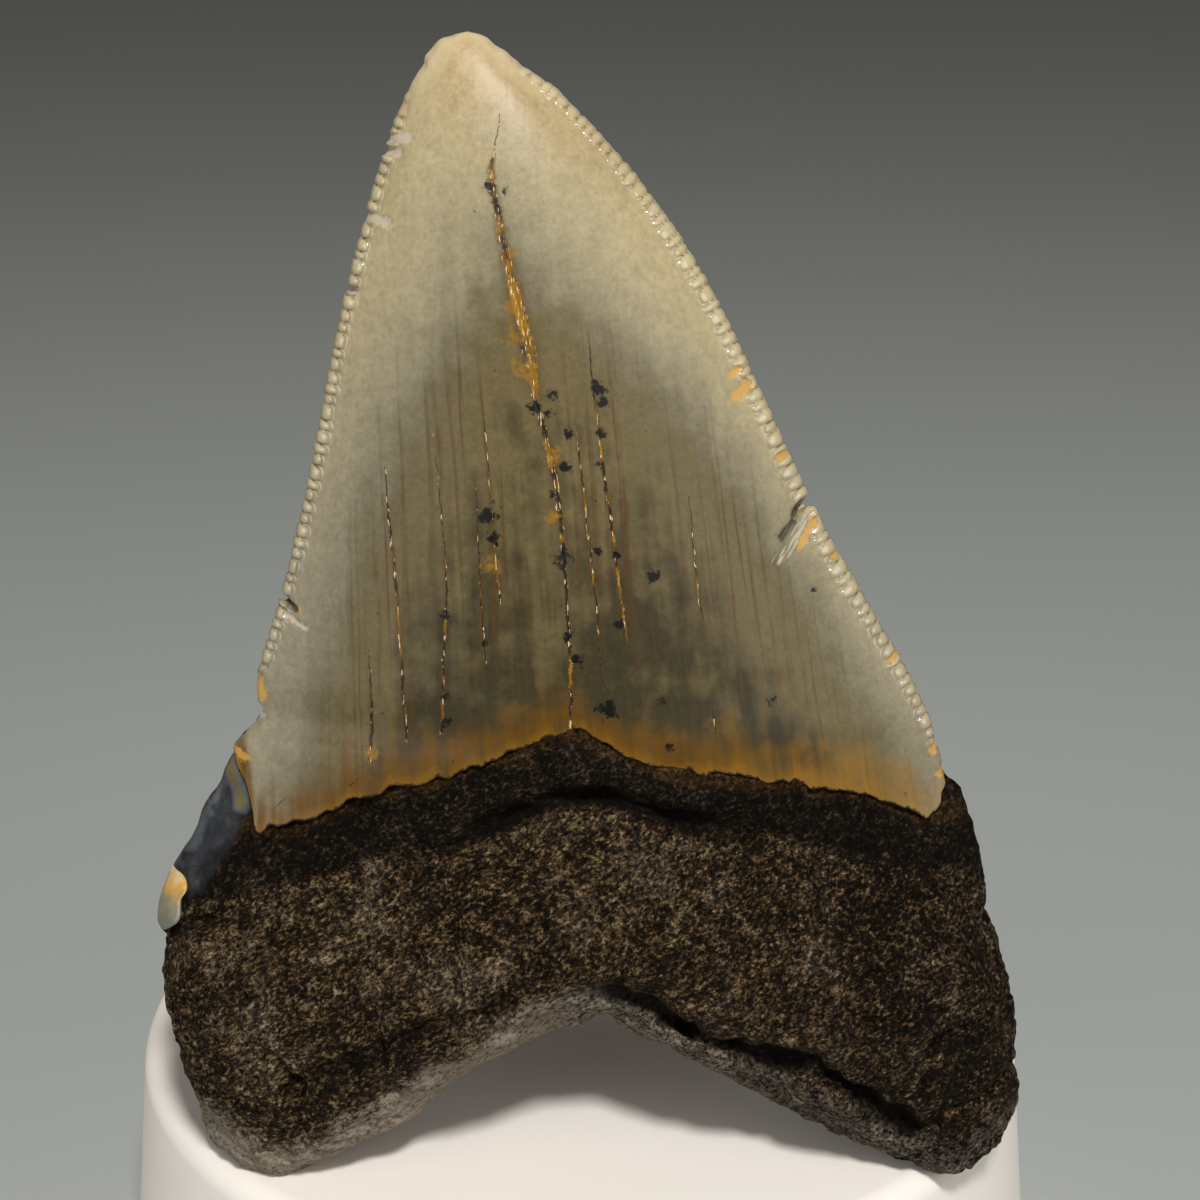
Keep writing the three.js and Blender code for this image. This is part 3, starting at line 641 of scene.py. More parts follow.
def shown_root(flat, rim, depth):
    """The shown face's depth with a lip over the collar's groove, the furrows and a drop under the enamel;
    and the painted shade in its groove and furrows, the arch's worn lips, the enamel's broken section and the
    rust along the joint."""
    x, _, z = np.moveaxis(flat, -1, 0)
    settled = smooth(0.3, 3, rim)
    over = z - height_at(GROOVE, x)
    middle = smooth(*GROOVE_FADE, np.abs(x - GROOVE_MIDDLE))
    lip, cut, shade = [low + more * middle for low, more in (GROOVE_LIP, GROOVE_CUT, GROOVE_SHADE)]
    dip = np.exp(-((over + GROOVE_DROP) / GROOVE_WIDTH) ** 2)
    lip = lip * smooth(*COLLAR_RISE, over) * smooth(5, 0.5, over)
    depth = depth + settled * (lip - cut * dip)
    # Painted shade in the groove under the collar's lip, strongest in the middle.
    hollow_shade = shade * dip
    wander = grains(flat, BORDER_WANDER)
    # Each furrow also takes painted shade, the deeper ones more.
    for width, deep, path in FURROWS:
        aside = distance_to(rounded(path, 6), x, z) + wander
        bed = np.exp(-(np.maximum(aside, 0) / width) ** 2)
        depth = depth - deep * bed * smooth(0.2, 1.6, rim)
        hollow_shade = np.maximum(hollow_shade, bed * min(1, deep / 1.2))
    under = height_at(np.array(ENAMEL_FRONT[3:-2]), x) - z
    depth = depth - ROOT_DROP * settled * smooth(*ROOT_DROP_FADE, under)
    from_arch = distance_to(at(ARCH, np.linspace(0, 1, 70)), x, z)
    lips = smooth(*LIP_FADE, from_arch + wander) * (1 - 0.35 * smooth(0, 14, x))
    section = smooth(*SECTION_FADE, distance_to(np.array(ENAMEL_SECTION), x, z) + 0.6 * wander)
    rust = smooth(*RUST_FADE, np.abs(under) + wander)
    return depth, np.clip(hollow_shade, 0, 1), lips, section, rust


def root_relief(shape, points, collar, broken):
    """Height along the root's normals: fine grains, lower on the collar and on broken dentine, lumps of two
    sizes, thin winding pits, and nothing under the flake."""
    relief = shape.grain_height / MM * grains(points, ROOT_GRAINS)
    relief = relief * (1 - 0.5 * collar) * (1 - 0.6 * broken) + grains(points, ROOT_LUMPS)
    pits = smooth(PIT_WIDTH, 0, np.abs(grain(points, 5.5, 27)))
    relief = relief - PIT_DEPTH * pits * (1 - collar) * (1 - broken)
    bed_x, bed_z, bed_width, bed_height = FLAKE_BED
    aside, up = (points[..., 0] - bed_x) / bed_width, (points[..., 2] - bed_z) / bed_height
    return relief * smooth(0.9, 1.3, np.hypot(aside, up))


def root_sheet(shape, face, rows, columns):
    """One face of the root as points in the tooth's frame, with its marks: the patch at the face's depth,
    with grains and lumps along its normals."""
    t, plane = root_plane(face, rows, columns)
    x, z = plane[..., 0], plane[..., 1]
    flat = np.stack([x, np.zeros(x.shape), z], -1)
    rim = distance_to(ROOT_OUTLINE, x, z)
    depth = face_depth(x, z, face)
    hollow_shade, lips, section, rust = np.zeros((4,) + x.shape)
    if face is FRONT:
        depth, hollow_shade, lips, section, rust = shown_root(flat, rim, depth)
    collar = smooth(*COLLAR_RISE, z - height_at(GROOVE, x))
    gaps = [(width, distance_to(rounded(path, 6), x, z)) for width, path in BREAKS]
    broken = np.max([smooth(width, 0.55 * width, gap) for width, gap in gaps], axis=0)
    section = np.maximum(section, 0.45 * broken * smooth(0.7, 0.05, rim + 0.5 * grain(flat, 0.6, 28)))
    points = np.stack([x, face["side"] * depth, z], -1)
    tucked_in = smooth(0.02, 0.1, t)
    relief = root_relief(shape, points, collar, broken) * tucked_in
    points = points + sheet_normals(points, face) * relief[..., None]
    # Painted shade darkens the root towards the right; the same term lightens the arch's lips on the left.
    shade = 0.03 * smooth(8, 24, x) - 0.1 * lips * smooth(4, -6, x)
    marks = {"skin": np.stack([broken, collar * tucked_in, hollow_shade], -1),
             "tone": np.stack([lips, section, shade], -1),
             "rust": np.stack([rust] * 3, -1)}
    return points, marks


def sheet_normals(points, face):
    """Outward normals of a sheet from the steps between its rows and columns. On the rim the normal lies in
    the plane of the edge, square to the outline, so that both faces share it."""
    down, across = np.gradient(points, axis=0), np.gradient(points, axis=1)
    normal = np.cross(across, down) * face["side"]
    for rim, along, turn in ((np.s_[:, 0], down, -1), (np.s_[:, -1], down, 1), (np.s_[-1, :], across, -1)):
        step = along[rim]
        normal[rim] = np.stack([-step[..., 2] * turn, 0 * step[..., 1], step[..., 0] * turn], -1)
    return normal / np.maximum(np.linalg.norm(normal, axis=-1, keepdims=True), 1e-12)


def quads(ids):
    """The four corners of every cell of a grid of vertex numbers."""
    return np.stack([ids[:-1, :-1], ids[1:, :-1], ids[1:, 1:], ids[:-1, 1:]], -1).reshape(-1, 4)


def slivers(line):
    """Thin triangles beside each second point of a border, where the coarser sheet skips that point."""
    return np.stack([line[0:-2:2], line[1:-1:2], line[2::2]], -1)


def fan(ring, pole):
    """Triangles from each step of a ring of vertex numbers to one pole."""
    return np.stack([ring[:-1], ring[1:], np.full(ring.size - 1, pole)], -1)


def closed_piece(name, front, back, open_row, pole):
    """One closed mesh from a front sheet and a back sheet with half its rows and columns. The sheets share
    their side columns and their closed row, or a pole there; a strip joins their open rows."""
    (front_points, front_marks), (back_points, back_marks) = front, back
    ids = np.arange(front_points[..., 0].size).reshape(front_points.shape[:2])
    back_ids = ids.size + np.arange(back_points[..., 0].size).reshape(back_points.shape[:2])
    closed_row = 0 if open_row == -1 else -1
    weld = np.arange(ids.size + back_ids.size)
    for rim in (np.s_[:, 0], np.s_[:, -1], np.s_[closed_row, :]):
        weld[back_ids[rim]] = ids[::2, ::2][rim]
    if pole:
        weld[ids[0]] = ids[0, 0]
        weld[back_ids[0]] = ids[0, 0]
    kept, weld = np.unique(weld, return_inverse=True)
    first = 1 if pole else 0
    near, far = ids[open_row, ::2], back_ids[open_row]
    fours = [quads(ids[first:]), quads(back_ids[first:]), quads(np.stack([near, far])[:, 1:-1])]
    borders = [ids[:, 0], ids[:, -1], ids[open_row]] + ([] if pole else [ids[closed_row]])
    threes = [slivers(line) for line in borders]
    threes += [[[near[0], far[1], near[1]], [near[-1], far[-2], near[-2]]]]
    if pole:
        threes += [fan(row, ids[0, 0]) for row in (ids[1], back_ids[1])]
    faces = weld[np.vstack(fours)].tolist() + weld[np.vstack(threes)].tolist()

    points = np.vstack([front_points.reshape(-1, 3), back_points.reshape(-1, 3)])[kept]
    marks = {key: np.vstack([front_marks[key].reshape(-1, 3), back_marks[key].reshape(-1, 3)])[kept]
             for key in front_marks}
    return mesh_piece(name, points, faces, marks)


def tooth_piece(shape, name, sheet, grid, open_row, pole):
    """A part of the tooth from both its faces, placed in the frame and kept from sinking into the stand."""
    rows, columns = grid
    faces = []
    for face, part in ((FRONT, 1), (BACK, 2)):
        points, marks = sheet(shape, face, rows // part, columns // part)
        placed = to_world(points, shape)
        placed[..., 2] = np.maximum(placed[..., 2], STAND_HIGH.z)
        faces.append((placed, marks))
    return closed_piece(name, *faces, open_row, pole)


def ringed_piece(name, rings, poles):
    """A closed piece from rings of points, each joined to the next, and a pole at either end."""
    ids = np.arange(rings[..., 0].size).reshape(rings.shape[:2])
    ids = np.hstack([ids, ids[:, :1]])
    fans = [fan(ids[0], ids.max() + 1), fan(ids[-1], ids.max() + 2)]
    points = np.vstack([rings.reshape(-1, 3), poles])
    return mesh_piece(name, points, quads(ids).tolist() + np.vstack(fans).tolist(), {})


def mesh_piece(name, points, faces, marks):
    """A smooth-shaded object at the origin from points in metres, its faces turned outward, with vector
    marks."""
    mesh = bpy.data.meshes.new(name)
    mesh.from_pydata(points, [], faces)
    for key, values in marks.items():
        attribute = mesh.attributes.new(key, "FLOAT_VECTOR", "POINT")
        attribute.data.foreach_set("vector", values.astype(np.float32).ravel())
    work = bmesh.new()
    work.from_mesh(mesh)
    bmesh.ops.recalc_face_normals(work, faces=work.faces)
    leaks = sum(not edge.is_manifold for edge in work.edges)
    work.to_mesh(mesh)
    work.free()
    if leaks:
        raise RuntimeError(f"{name} has {leaks} edges that don't join two faces")
    mesh.polygons.foreach_set("use_smooth", np.ones(len(mesh.polygons), bool))
    piece = bpy.data.objects.new(name, mesh)
    bpy.context.scene.collection.objects.link(piece)
    return piece


def finish_piece(piece, material, node):
    """Give a piece its material, hang it under the root body, and hide the part it stands for."""
    piece.data.materials.append(material)
    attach(piece, "root")
    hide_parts(node)


def flake_piece(shape):
    """A plate on the root's side: rings from the middle of its outline outwards over the face, then back
    under it, with the thickness rounded off at the rim."""
    rings, steps = FLAKE_GRID
    outline = rounded(FLAKE + FLAKE[:1])
    centre = np.mean(FLAKE, axis=0)
    share = np.linspace(0, 2, rings + 1)[1:-1, None]
    turn = np.linspace(0, 1, steps, endpoint=False)[None]
    share, turn, radius = np.broadcast_arrays(share, turn, np.minimum(share, 2 - share))
    plane = centre + (at(outline, turn) - centre) * radius[..., None]
    x, z = plane[..., 0], plane[..., 1]
    flat = np.stack([x, np.zeros(x.shape), z], -1)
    lift = np.where(share <= 1, FLAKE_OVER, -FLAKE_UNDER) * np.sqrt(1 - radius ** 6)
    lift = lift + FLAKE_MIDDLE + np.where(share <= 1, 0.06 * grain(flat, 0.7, 31), 0)
    sheet = np.stack([x, -(face_depth(x, z, FRONT) + lift), z], -1)
    deep = face_depth(centre[:1], centre[1:], FRONT)[0] + FLAKE_MIDDLE
    poles = [[centre[0], -(deep + swell), centre[1]] for swell in (FLAKE_OVER, -FLAKE_UNDER)]
    return ringed_piece("enamel_flake", to_world(sheet, shape), to_world(np.array(poles), shape))


def plinth_profile(stand):
    """The stand's profile from the axis below to the axis above: foot and rim as quarter-like arcs tangent to
    the flat faces and the leaning side."""
    base, height = STAND_HIGH.x, STAND_HIGH.z - STAND_LOW.z
    lean = atan((base - stand.top_radius) / height)
    foot_turn = np.linspace(-pi / 2, lean, 9)[:, None]
    rim_turn = np.linspace(lean, pi / 2, 15)[:, None]
    foot_centre = np.array([base - stand.foot_round, stand.foot_round])
    rim_centre = np.array([stand.top_radius - stand.rim_round, height - stand.rim_round])
    foot = foot_centre + stand.foot_round * np.hstack([np.cos(foot_turn), np.sin(foot_turn)])
    rim = rim_centre + stand.rim_round * np.hstack([np.cos(rim_turn), np.sin(rim_turn)])
    fractions = np.linspace(0, 1, 10)[1:-1, None]
    under = foot[0] * np.hstack([fractions[2:], np.ones_like(fractions[2:])])
    side = foot[-1] + (rim[0] - foot[-1]) * fractions
    upper = rim[-1] * np.hstack([1 - fractions[:-2], np.ones_like(fractions[:-2])])
    return np.vstack([under, foot, side, rim, upper])


def plinth_piece(stand):
    """The stand as its profile carried round the z axis, closed on the axis at both ends."""
    profile = plinth_profile(stand)
    turn = np.linspace(0, 2 * pi, PLINTH_SIDES, endpoint=False)
    radius, height = profile[:, :1], profile[:, 1:]
    rings = np.stack([radius * np.cos(turn), radius * np.sin(turn), height + 0 * turn], -1)
    return ringed_piece("plinth", rings, [[0, 0, profile[0, 1]], [0, 0, profile[-1, 1]]])


def add(tree, kind, links=None, stops=None, **settings):
    """Add a shader node with its settings, each input from a socket or a value, and a ramp's colour stops,
    both ends first; return its outputs."""
    made = tree.nodes.new("ShaderNode" + kind)
    for name, value in settings.items():
        setattr(made, name, value)
    for place, value in (links or {}).items():
        if isinstance(value, bpy.types.NodeSocket):
            tree.links.new(value, made.inputs[place])
        else:
            made.inputs[place].default_value = value
    for count, (position, colour) in enumerate(stops or []):
        ramp = made.color_ramp.elements
        stop = ramp[count] if count < 2 else ramp.new(position)
        stop.position = position
        stop.color = colour
    return made.outputs


def new_material(name, **constants):
    """A material with its shader, and the shader's constant values set on its own sockets."""
    material = bpy.data.materials.new(name)
    material.use_nodes = True
    shader = material.node_tree.nodes["Principled BSDF"]
    for socket, value in constants.items():
        shader.inputs[socket].default_value = value
    return material, material.node_tree, shader


def connect(tree, shader, **sources):
    """Link sockets to the shader's inputs of the same names."""
    for name, source in sources.items():
        tree.links.new(source, shader.inputs[name.replace("_", " ")])


def tooth_place(tree, shape):
    """Object coordinates turned back into the tooth's own millimetres."""
    c, s = cos(shape.lean), sin(shape.lean)
    y, z = -shape.seat / MM, (STAND_HIGH.z - shape.sink) / MM
    moved = (0, z * s - y * c, -y * s - z * c)
    return add(tree, "Mapping", {"Vector": add(tree, "TexCoord")["Object"], "Scale": (1 / MM,) * 3,
                                 "Rotation": (shape.lean, 0, 0), "Location": moved})[0]


def marks_on(tree, *names):
    """Each named mark of the mesh as its three numbers."""
    vectors = [add(tree, "Attribute", attribute_name=name)["Vector"] for name in names]
    return [add(tree, "SeparateXYZ", {0: vector})[:3] for vector in vectors]


def enamel_fields(tree, shape):
    """What the enamel's layers share: the marks on the mesh, the place on the tooth, noise of four sizes and
    noise drawn out into streaks along the growth lines."""
    field = SimpleNamespace(place=tooth_place(tree, shape))
    names = ("zone", "crack_offset", "crack_width", "blot", "chip")
    zone, offsets, widths, blots, field.chips = marks_on(tree, *names)
    field.core, field.above, field.edge = zone
    field.cracks = list(zip(offsets[:2], widths[:2]))
    field.growth, field.pearl = offsets[2], widths[2]
    field.spot, field.patch, field.present = blots
    field.sideways, _, field.height = add(tree, "SeparateXYZ", {0: field.place})[:3]
    for name, size, detail, roughness in (("cloud", 6, 6, 0.6), ("lode", 2.2, 4, 0.5), ("blob", 0.9, 5, 0.65),
                                          ("fleck", 0.35, 4, 0.6)):
        noise = add(tree, "TexNoise", {"Vector": field.place, "Scale": 1 / size, "Detail": detail,
                                       "Roughness": roughness})[0]
        setattr(field, name, noise)
    grown = add(tree, "CombineXYZ", {0: field.growth, 2: field.height})[0]
    field.streaks = []
    for across, along in ((1.7, 16), (0.5, 9), (0.13, 0.7)):
        stretched = add(tree, "Mapping", {"Vector": grown, "Scale": (across, 1, along)},
                        vector_type="TEXTURE")[0]
        field.streaks.append(add(tree, "TexNoise", {"Vector": stretched, "Scale": 1, "Detail": 2})[0])
    field.drift = add(tree, "Math", {0: field.streaks[0], 1: field.lode}, operation="ADD")[0]
    field.uneven = add(tree, "MapRange", {"Value": field.drift, "From Min": 0.5, "From Max": 1.5,
                                          "To Min": -2.4, "To Max": 2.4})[0]
    return field


def enamel_ground(tree, field, colours):
    """The base tone: from the margin's cream through a grey veil to the olive core, darkest over the root,
    all of it finely dusted."""
    mottled = add(tree, "MapRange", {"Value": field.cloud, "To Min": -0.08, "To Max": 0.08})[0]
    low = add(tree, "MapRange", {"Value": field.height, "From Min": 56, "From Max": 34, "To Max": 0.2})[0]
    smoky = add(tree, "MapRange", {"Value": field.drift, "From Min": 0.6, "From Max": 1.4, "To Min": -0.18,
                                   "To Max": 0.18})[0]
    low = add(tree, "Math", {0: low, 1: smoky}, operation="ADD")[0]
    low = add(tree, "Math", {0: low, 1: field.core, 2: mottled}, operation="MULTIPLY_ADD")[0]
    depth = add(tree, "Math", {0: field.core, 1: 0.8, 2: low}, operation="MULTIPLY_ADD")[0]
    leaning = add(tree, "Math", {0: field.sideways, 1: 0.35, 2: field.height}, operation="MULTIPLY_ADD")[0]
    tall = add(tree, "MapRange", {"Value": leaning, "From Min": 28, "From Max": 83})[0]
    margin = add(tree, "ValToRGB", {0: tall}, stops=[(0.15, colours.margin_low), (0.95, colours.tip),
                                                     (0.6, colours.margin), (0.8, colours.margin)])[0]
    dark = add(tree, "ValToRGB", {0: depth}, stops=[(0.16, colours.veil), (1, colours.core_deep),
                                                    (0.6, colours.core), (0.78, colours.core)])[0]
    covered = add(tree, "MapRange", {"Value": depth, "From Min": 0, "From Max": 0.55},
                  interpolation_type="SMOOTHSTEP")[0]
    colour = add(tree, "Mix", {0: covered, 6: margin, 7: dark}, data_type="RGBA")[2]
    dust = add(tree, "Math", {0: field.fleck, 1: field.blob}, operation="ADD")[0]
    dust = add(tree, "MapRange", {"Value": dust, "From Min": 0.6, "From Max": 1.4, "To Min": 0.2,
                                  "To Max": 0.8})[0]
    dust = add(tree, "CombineXYZ", {0: dust, 1: dust, 2: dust})[0]
    return add(tree, "Mix", {0: 0.42, 6: colour, 7: dust}, data_type="RGBA", blend_type="OVERLAY")[2]


def stain_layers(tree, field, colours):
    """An amber stain that soaked up unevenly from the lower edge, thinner and more golden to the right."""
    stain = add(tree, "Math", {0: field.above, 1: field.uneven}, operation="ADD")[0]
    stain = add(tree, "MapRange", {"Value": stain, "From Min": 4.4, "From Max": 0.6},
                interpolation_type="SMOOTHSTEP")[0]
    soaked = add(tree, "MapRange", {"Value": field.streaks[1], "From Min": 0.35, "From Max": 0.6,
                                    "To Min": 0.6, "To Max": 1})[0]
    clean = add(tree, "MapRange", {"Value": field.sideways, "From Min": 14, "From Max": 26, "To Min": 1,
                                   "To Max": 0.55})[0]
    for part in (soaked, clean):
        stain = add(tree, "Math", {0: stain, 1: part}, operation="MULTIPLY")[0]
    golden = add(tree, "MapRange", {"Value": field.sideways, "From Min": 8, "From Max": 20, "To Max": 0.8})[0]
    amber = add(tree, "Mix", {0: golden, 6: colours.stain, 7: colours.filling}, data_type="RGBA")[2]
    return [(stain, amber)]


def growth_layers(tree, field, colours):
    """Thin brown growth lines along the core, coarse and fine, each from a height of its own to another."""
    inner = add(tree, "MapRange", {"Value": field.core, "From Min": 0.3, "From Max": 0.7})[0]
    broken = add(tree, "Math", {0: field.streaks[1], 1: field.lode}, operation="ADD")[0]
    broken = add(tree, "MapRange", {"Value": broken, "From Min": 0.8, "From Max": 1.15})[0]
    inner = add(tree, "Math", {0: inner, 1: broken}, operation="MULTIPLY")[0]
    swayed = add(tree, "MapRange", {"Value": field.streaks[0], "To Min": -0.6, "To Max": 0.6})[0]
    swayed = add(tree, "Math", {0: field.growth, 1: swayed}, operation="ADD")[0]
    swayed = add(tree, "Math", {0: field.streaks[1], 1: 0.5, 2: swayed}, operation="MULTIPLY_ADD")[0]
    layers = []
    for cell, width, share in ((1.3, 0.2, 1), (0.75, 0.14, 0.9)):
        line, draw = add(tree, "TexVoronoi", {"W": swayed, "Scale": 1 / cell}, voronoi_dimensions="1D")[:2]
        line = add(tree, "MapRange", {"Value": line, "From Min": width / cell, "From Max": 0})[0]
        foot, head, strength = add(tree, "SeparateXYZ", {0: draw})[:3]
        foot = add(tree, "Math", {0: foot, 1: -16, 2: field.height}, operation="MULTIPLY_ADD")[0]
        foot = add(tree, "MapRange", {"Value": foot, "From Min": 24, "From Max": 32})[0]
        head = add(tree, "Math", {0: head, 1: -28, 2: field.height}, operation="MULTIPLY_ADD")[0]
        head = add(tree, "MapRange", {"Value": head, "From Min": 46, "From Max": 38})[0]
        strength = add(tree, "MapRange", {"Value": strength, "To Min": 0.5 * share, "To Max": share})[0]
        for part in (foot, head, strength, inner):
            line = add(tree, "Math", {0: line, 1: part}, operation="MULTIPLY")[0]
        layers.append((line, colours.growth))
    return layers


def edge_layers(tree, field, colours):
    """A tip worn pale at its edge, partly painted highlight; a golden glow over the lower edge; beads with
    painted highlights on their tops and brown notches between them, partly painted shade; and a dark crumbly
    joint to the root, partly painted shadow under the enamel's edge."""
    # The tip's rim: pale from wear, and partly painted highlight.
    rubbed_and_highlit = add(tree, "MapRange", {"Value": field.edge, "From Min": 2.2, "From Max": 0.2, "To Max": 0.75})[0]
    high = add(tree, "MapRange", {"Value": field.height, "From Min": 75, "From Max": 80})[0]
    rubbed_and_highlit = add(tree, "Math", {0: rubbed_and_highlit, 1: high}, operation="MULTIPLY")[0]
    glow = add(tree, "Math", {0: field.uneven, 1: 0.4, 2: field.above}, operation="MULTIPLY_ADD")[0]
    glow = add(tree, "MapRange", {"Value": glow, "From Min": 0.9, "From Max": 0, "To Max": 0.35})[0]
    rimmed = add(tree, "MapRange", {"Value": field.edge, "From Min": 0.9, "From Max": 0.45})[0]
    # Brown in the notches between the beads, partly painted shade.
    between = add(tree, "MapRange", {"Value": field.pearl, "From Min": 0.5, "From Max": 0.2,
                                     "To Max": 0.7})[0]
    for part in (rimmed, field.present):
        between = add(tree, "Math", {0: part, 1: between}, operation="MULTIPLY")[0]
    # Painted highlight: the beads' tops lightened towards the pale bead colour.
    bead_highlight = add(tree, "MapRange", {"Value": field.pearl, "From Min": 0.3, "From Max": 0.8,
                                    "To Max": 0.45})[0]
    # The dark joint to the root, partly painted shadow under the enamel's edge; the closing rows underneath
    # share it.
    crumbly = add(tree, "MapRange", {"Value": field.fleck, "To Min": -0.35, "To Max": 0.35})[0]
    joint_and_shadow = add(tree, "Math", {0: field.above, 1: crumbly}, operation="ADD")[0]
    joint_and_shadow = add(tree, "MapRange", {"Value": joint_and_shadow, "From Min": 0.2, "From Max": 0.1, "To Max": 0.95})[0]
    return [(rubbed_and_highlit, colours.bead), (glow, colours.filling), (between, colours.notch), (bead_highlight, colours.bead),
            (joint_and_shadow, colours.seam)]


def crack_layers(tree, field, colours):
    """Cracks: a dark line of uneven width with a brown border, in places filled with golden mineral, and with
    painted highlights: bright glints along it."""
    wander = add(tree, "MapRange", {"Value": field.blob, "To Min": -0.22, "To Max": 0.22})[0]
    pool = add(tree, "MapRange", {"Value": field.fleck, "From Min": 0.3, "From Max": 0.7, "To Min": 0.4,
                                  "To Max": 1.6})[0]
    # Painted highlight: the mask of the cracks' bright glints.
    painted_crack_glints = add(tree, "MapRange", {"Value": field.streaks[2], "From Min": 0.58, "From Max": 0.64})[0]
    layers = []
    for offset, width in field.cracks:
        rich = add(tree, "Math", {0: width, 1: 0.5, 2: field.lode}, operation="MULTIPLY_ADD")[0]
        rich = add(tree, "MapRange", {"Value": rich, "From Min": 0.54, "From Max": 0.7})[0]
        vein = add(tree, "Mix", {0: rich, 6: colours.seam, 7: colours.filling}, data_type="RGBA")[2]
        vein = add(tree, "Mix", {0: painted_crack_glints, 6: vein, 7: colours.crack_highlight}, data_type="RGBA")[2]
        bent = add(tree, "Math", {0: offset, 1: wander}, operation="ADD")[0]
        bent = add(tree, "Math", {0: bent}, operation="ABSOLUTE")[0]
        reach = add(tree, "Math", {0: pool, 1: width}, operation="MULTIPLY")[0]
        reach = add(tree, "Math", {0: reach, 1: 0.01}, operation="MAXIMUM")[0]
        ratio = add(tree, "Math", {0: bent, 1: reach}, operation="DIVIDE")[0]
        border = add(tree, "MapRange", {"Value": ratio, "From Min": 2.2, "From Max": 1, "To Max": 0.55})[0]
        filled = add(tree, "MapRange", {"Value": ratio, "From Min": 1.05, "From Max": 0.75, "To Max": 0.9})[0]
        layers += [(border, colours.growth), (filled, vein)]
    return layers


def mineral_layers(tree, field, colours):
    """Ragged golden patches and blue-black spots of mineral, and a few black specks."""
    ragged = add(tree, "MapRange", {"Value": field.blob, "To Min": -2, "To Max": 2})[0]
    finer = add(tree, "MapRange", {"Value": field.fleck, "To Min": -1.4, "To Max": 1.4})[0]
    ragged = add(tree, "Math", {0: ragged, 1: finer}, operation="ADD")[0]
    rusty = add(tree, "Math", {0: field.patch, 1: ragged}, operation="ADD")[0]
    rusty = add(tree, "MapRange", {"Value": rusty, "From Min": 0, "From Max": 1.1, "To Max": 0.8})[0]
    blot = add(tree, "Math", {0: field.spot, 1: ragged}, operation="ADD")[0]
    blot = add(tree, "MapRange", {"Value": blot, "From Min": 0, "From Max": 0.5, "To Max": 0.95})[0]
    near, draw = add(tree, "TexVoronoi", {"Vector": field.place, "Scale": 1 / 1.7})[:2]
    chosen = add(tree, "SeparateXYZ", {0: draw})[0]
    chosen = add(tree, "MapRange", {"Value": chosen, "From Min": 0.65, "From Max": 0.8, "To Max": 0.6})[0]
    speck = add(tree, "MapRange", {"Value": near, "From Min": 0.08, "From Max": 0.03})[0]
    speck = add(tree, "Math", {0: speck, 1: chosen}, operation="MULTIPLY")[0]
    return [(rusty, colours.filling), (blot, colours.spot), (speck, colours.spot)]


def chip_layers(tree, field, colours):
    """White and amber facets of chips, and black painted shadow on the shaded sides of their scoops. On the
    right edge the white ones and the shadow are scored by slanting scratches; the others are finely ragged."""
    scored = add(tree, "Mapping", {"Vector": field.place, "Rotation": (0, radians(37), 0),
                                   "Scale": (0.13, 1, 2.2)}, vector_type="TEXTURE")[0]
    scored = add(tree, "TexNoise", {"Vector": scored, "Scale": 1, "Detail": 3})[0]
    scored = add(tree, "MapRange", {"Value": scored, "To Min": -2.4, "To Max": 1.6})[0]
    fine = add(tree, "MapRange", {"Value": field.fleck, "To Min": -1.1, "To Max": 1.1})[0]
    to_right = add(tree, "MapRange", {"Value": field.sideways, "From Min": 0, "From Max": 1})[0]
    scored = add(tree, "Mix", {0: to_right, 2: fine, 3: scored})[0]
    soft = add(tree, "Math", {0: scored, 1: 0.5}, operation="MULTIPLY")[0]
    layers = []
    # The third colour, black, is painted shadow in the chips' scoops.
    facets = (colours.chip, colours.facet, colours.spot)
    for chip, torn, facet in zip(field.chips, (scored, fine, soft), facets):
        chipped = add(tree, "Math", {0: chip, 1: torn}, operation="ADD")[0]
        chipped = add(tree, "MapRange", {"Value": chipped, "From Min": 0.05, "From Max": 0.6,
                                         "To Max": 0.75})[0]
        layers.append((chipped, facet))
    return layers


def layered(tree, colour, layers):
    """The colour with layers laid over it, each through its mask."""
    for mask, layer in layers:
        colour = add(tree, "Mix", {0: mask, 6: colour, 7: layer}, data_type="RGBA")[2]
    return colour


def enamel_material(shape, colours):
    """Fossil enamel, polished by wear: hard and satin-glossy, cream at the margins over a darker core, with
    mineral in its cracks and black spots. The beads' polish catches bright points of light."""
    material, tree, shader = new_material("Fossil enamel", IOR=1.55)
    field = enamel_fields(tree, shape)
    colour = enamel_ground(tree, field, colours)
    for kind in (stain_layers, growth_layers, edge_layers, crack_layers, mineral_layers, chip_layers):
        colour = layered(tree, colour, kind(tree, field, colours))
    polished = add(tree, "MapRange", {"Value": field.edge, "From Min": 1.2, "From Max": 0.95})[0]
    polished = add(tree, "Math", {0: polished, 1: field.present}, operation="MULTIPLY")[0]
    gloss = add(tree, "MapRange", {"Value": field.fleck, "To Min": 0.3, "To Max": 0.46})[0]
    gloss = add(tree, "Mix", {0: polished, 2: gloss, 3: 0.14})[0]
    shine = add(tree, "MapRange", {"Value": polished, "To Min": 0.2, "To Max": 0.8})[0]
    dents = add(tree, "Math", {0: field.streaks[1], 1: field.fleck}, operation="ADD")[0]
    bump = add(tree, "Bump", {"Height": dents, "Strength": 0.3, "Distance": 0.05 * MM})[0]
    connect(tree, shader, Base_Color=colour, Roughness=gloss, Specular_IOR_Level=shine, Normal=bump)
    return material


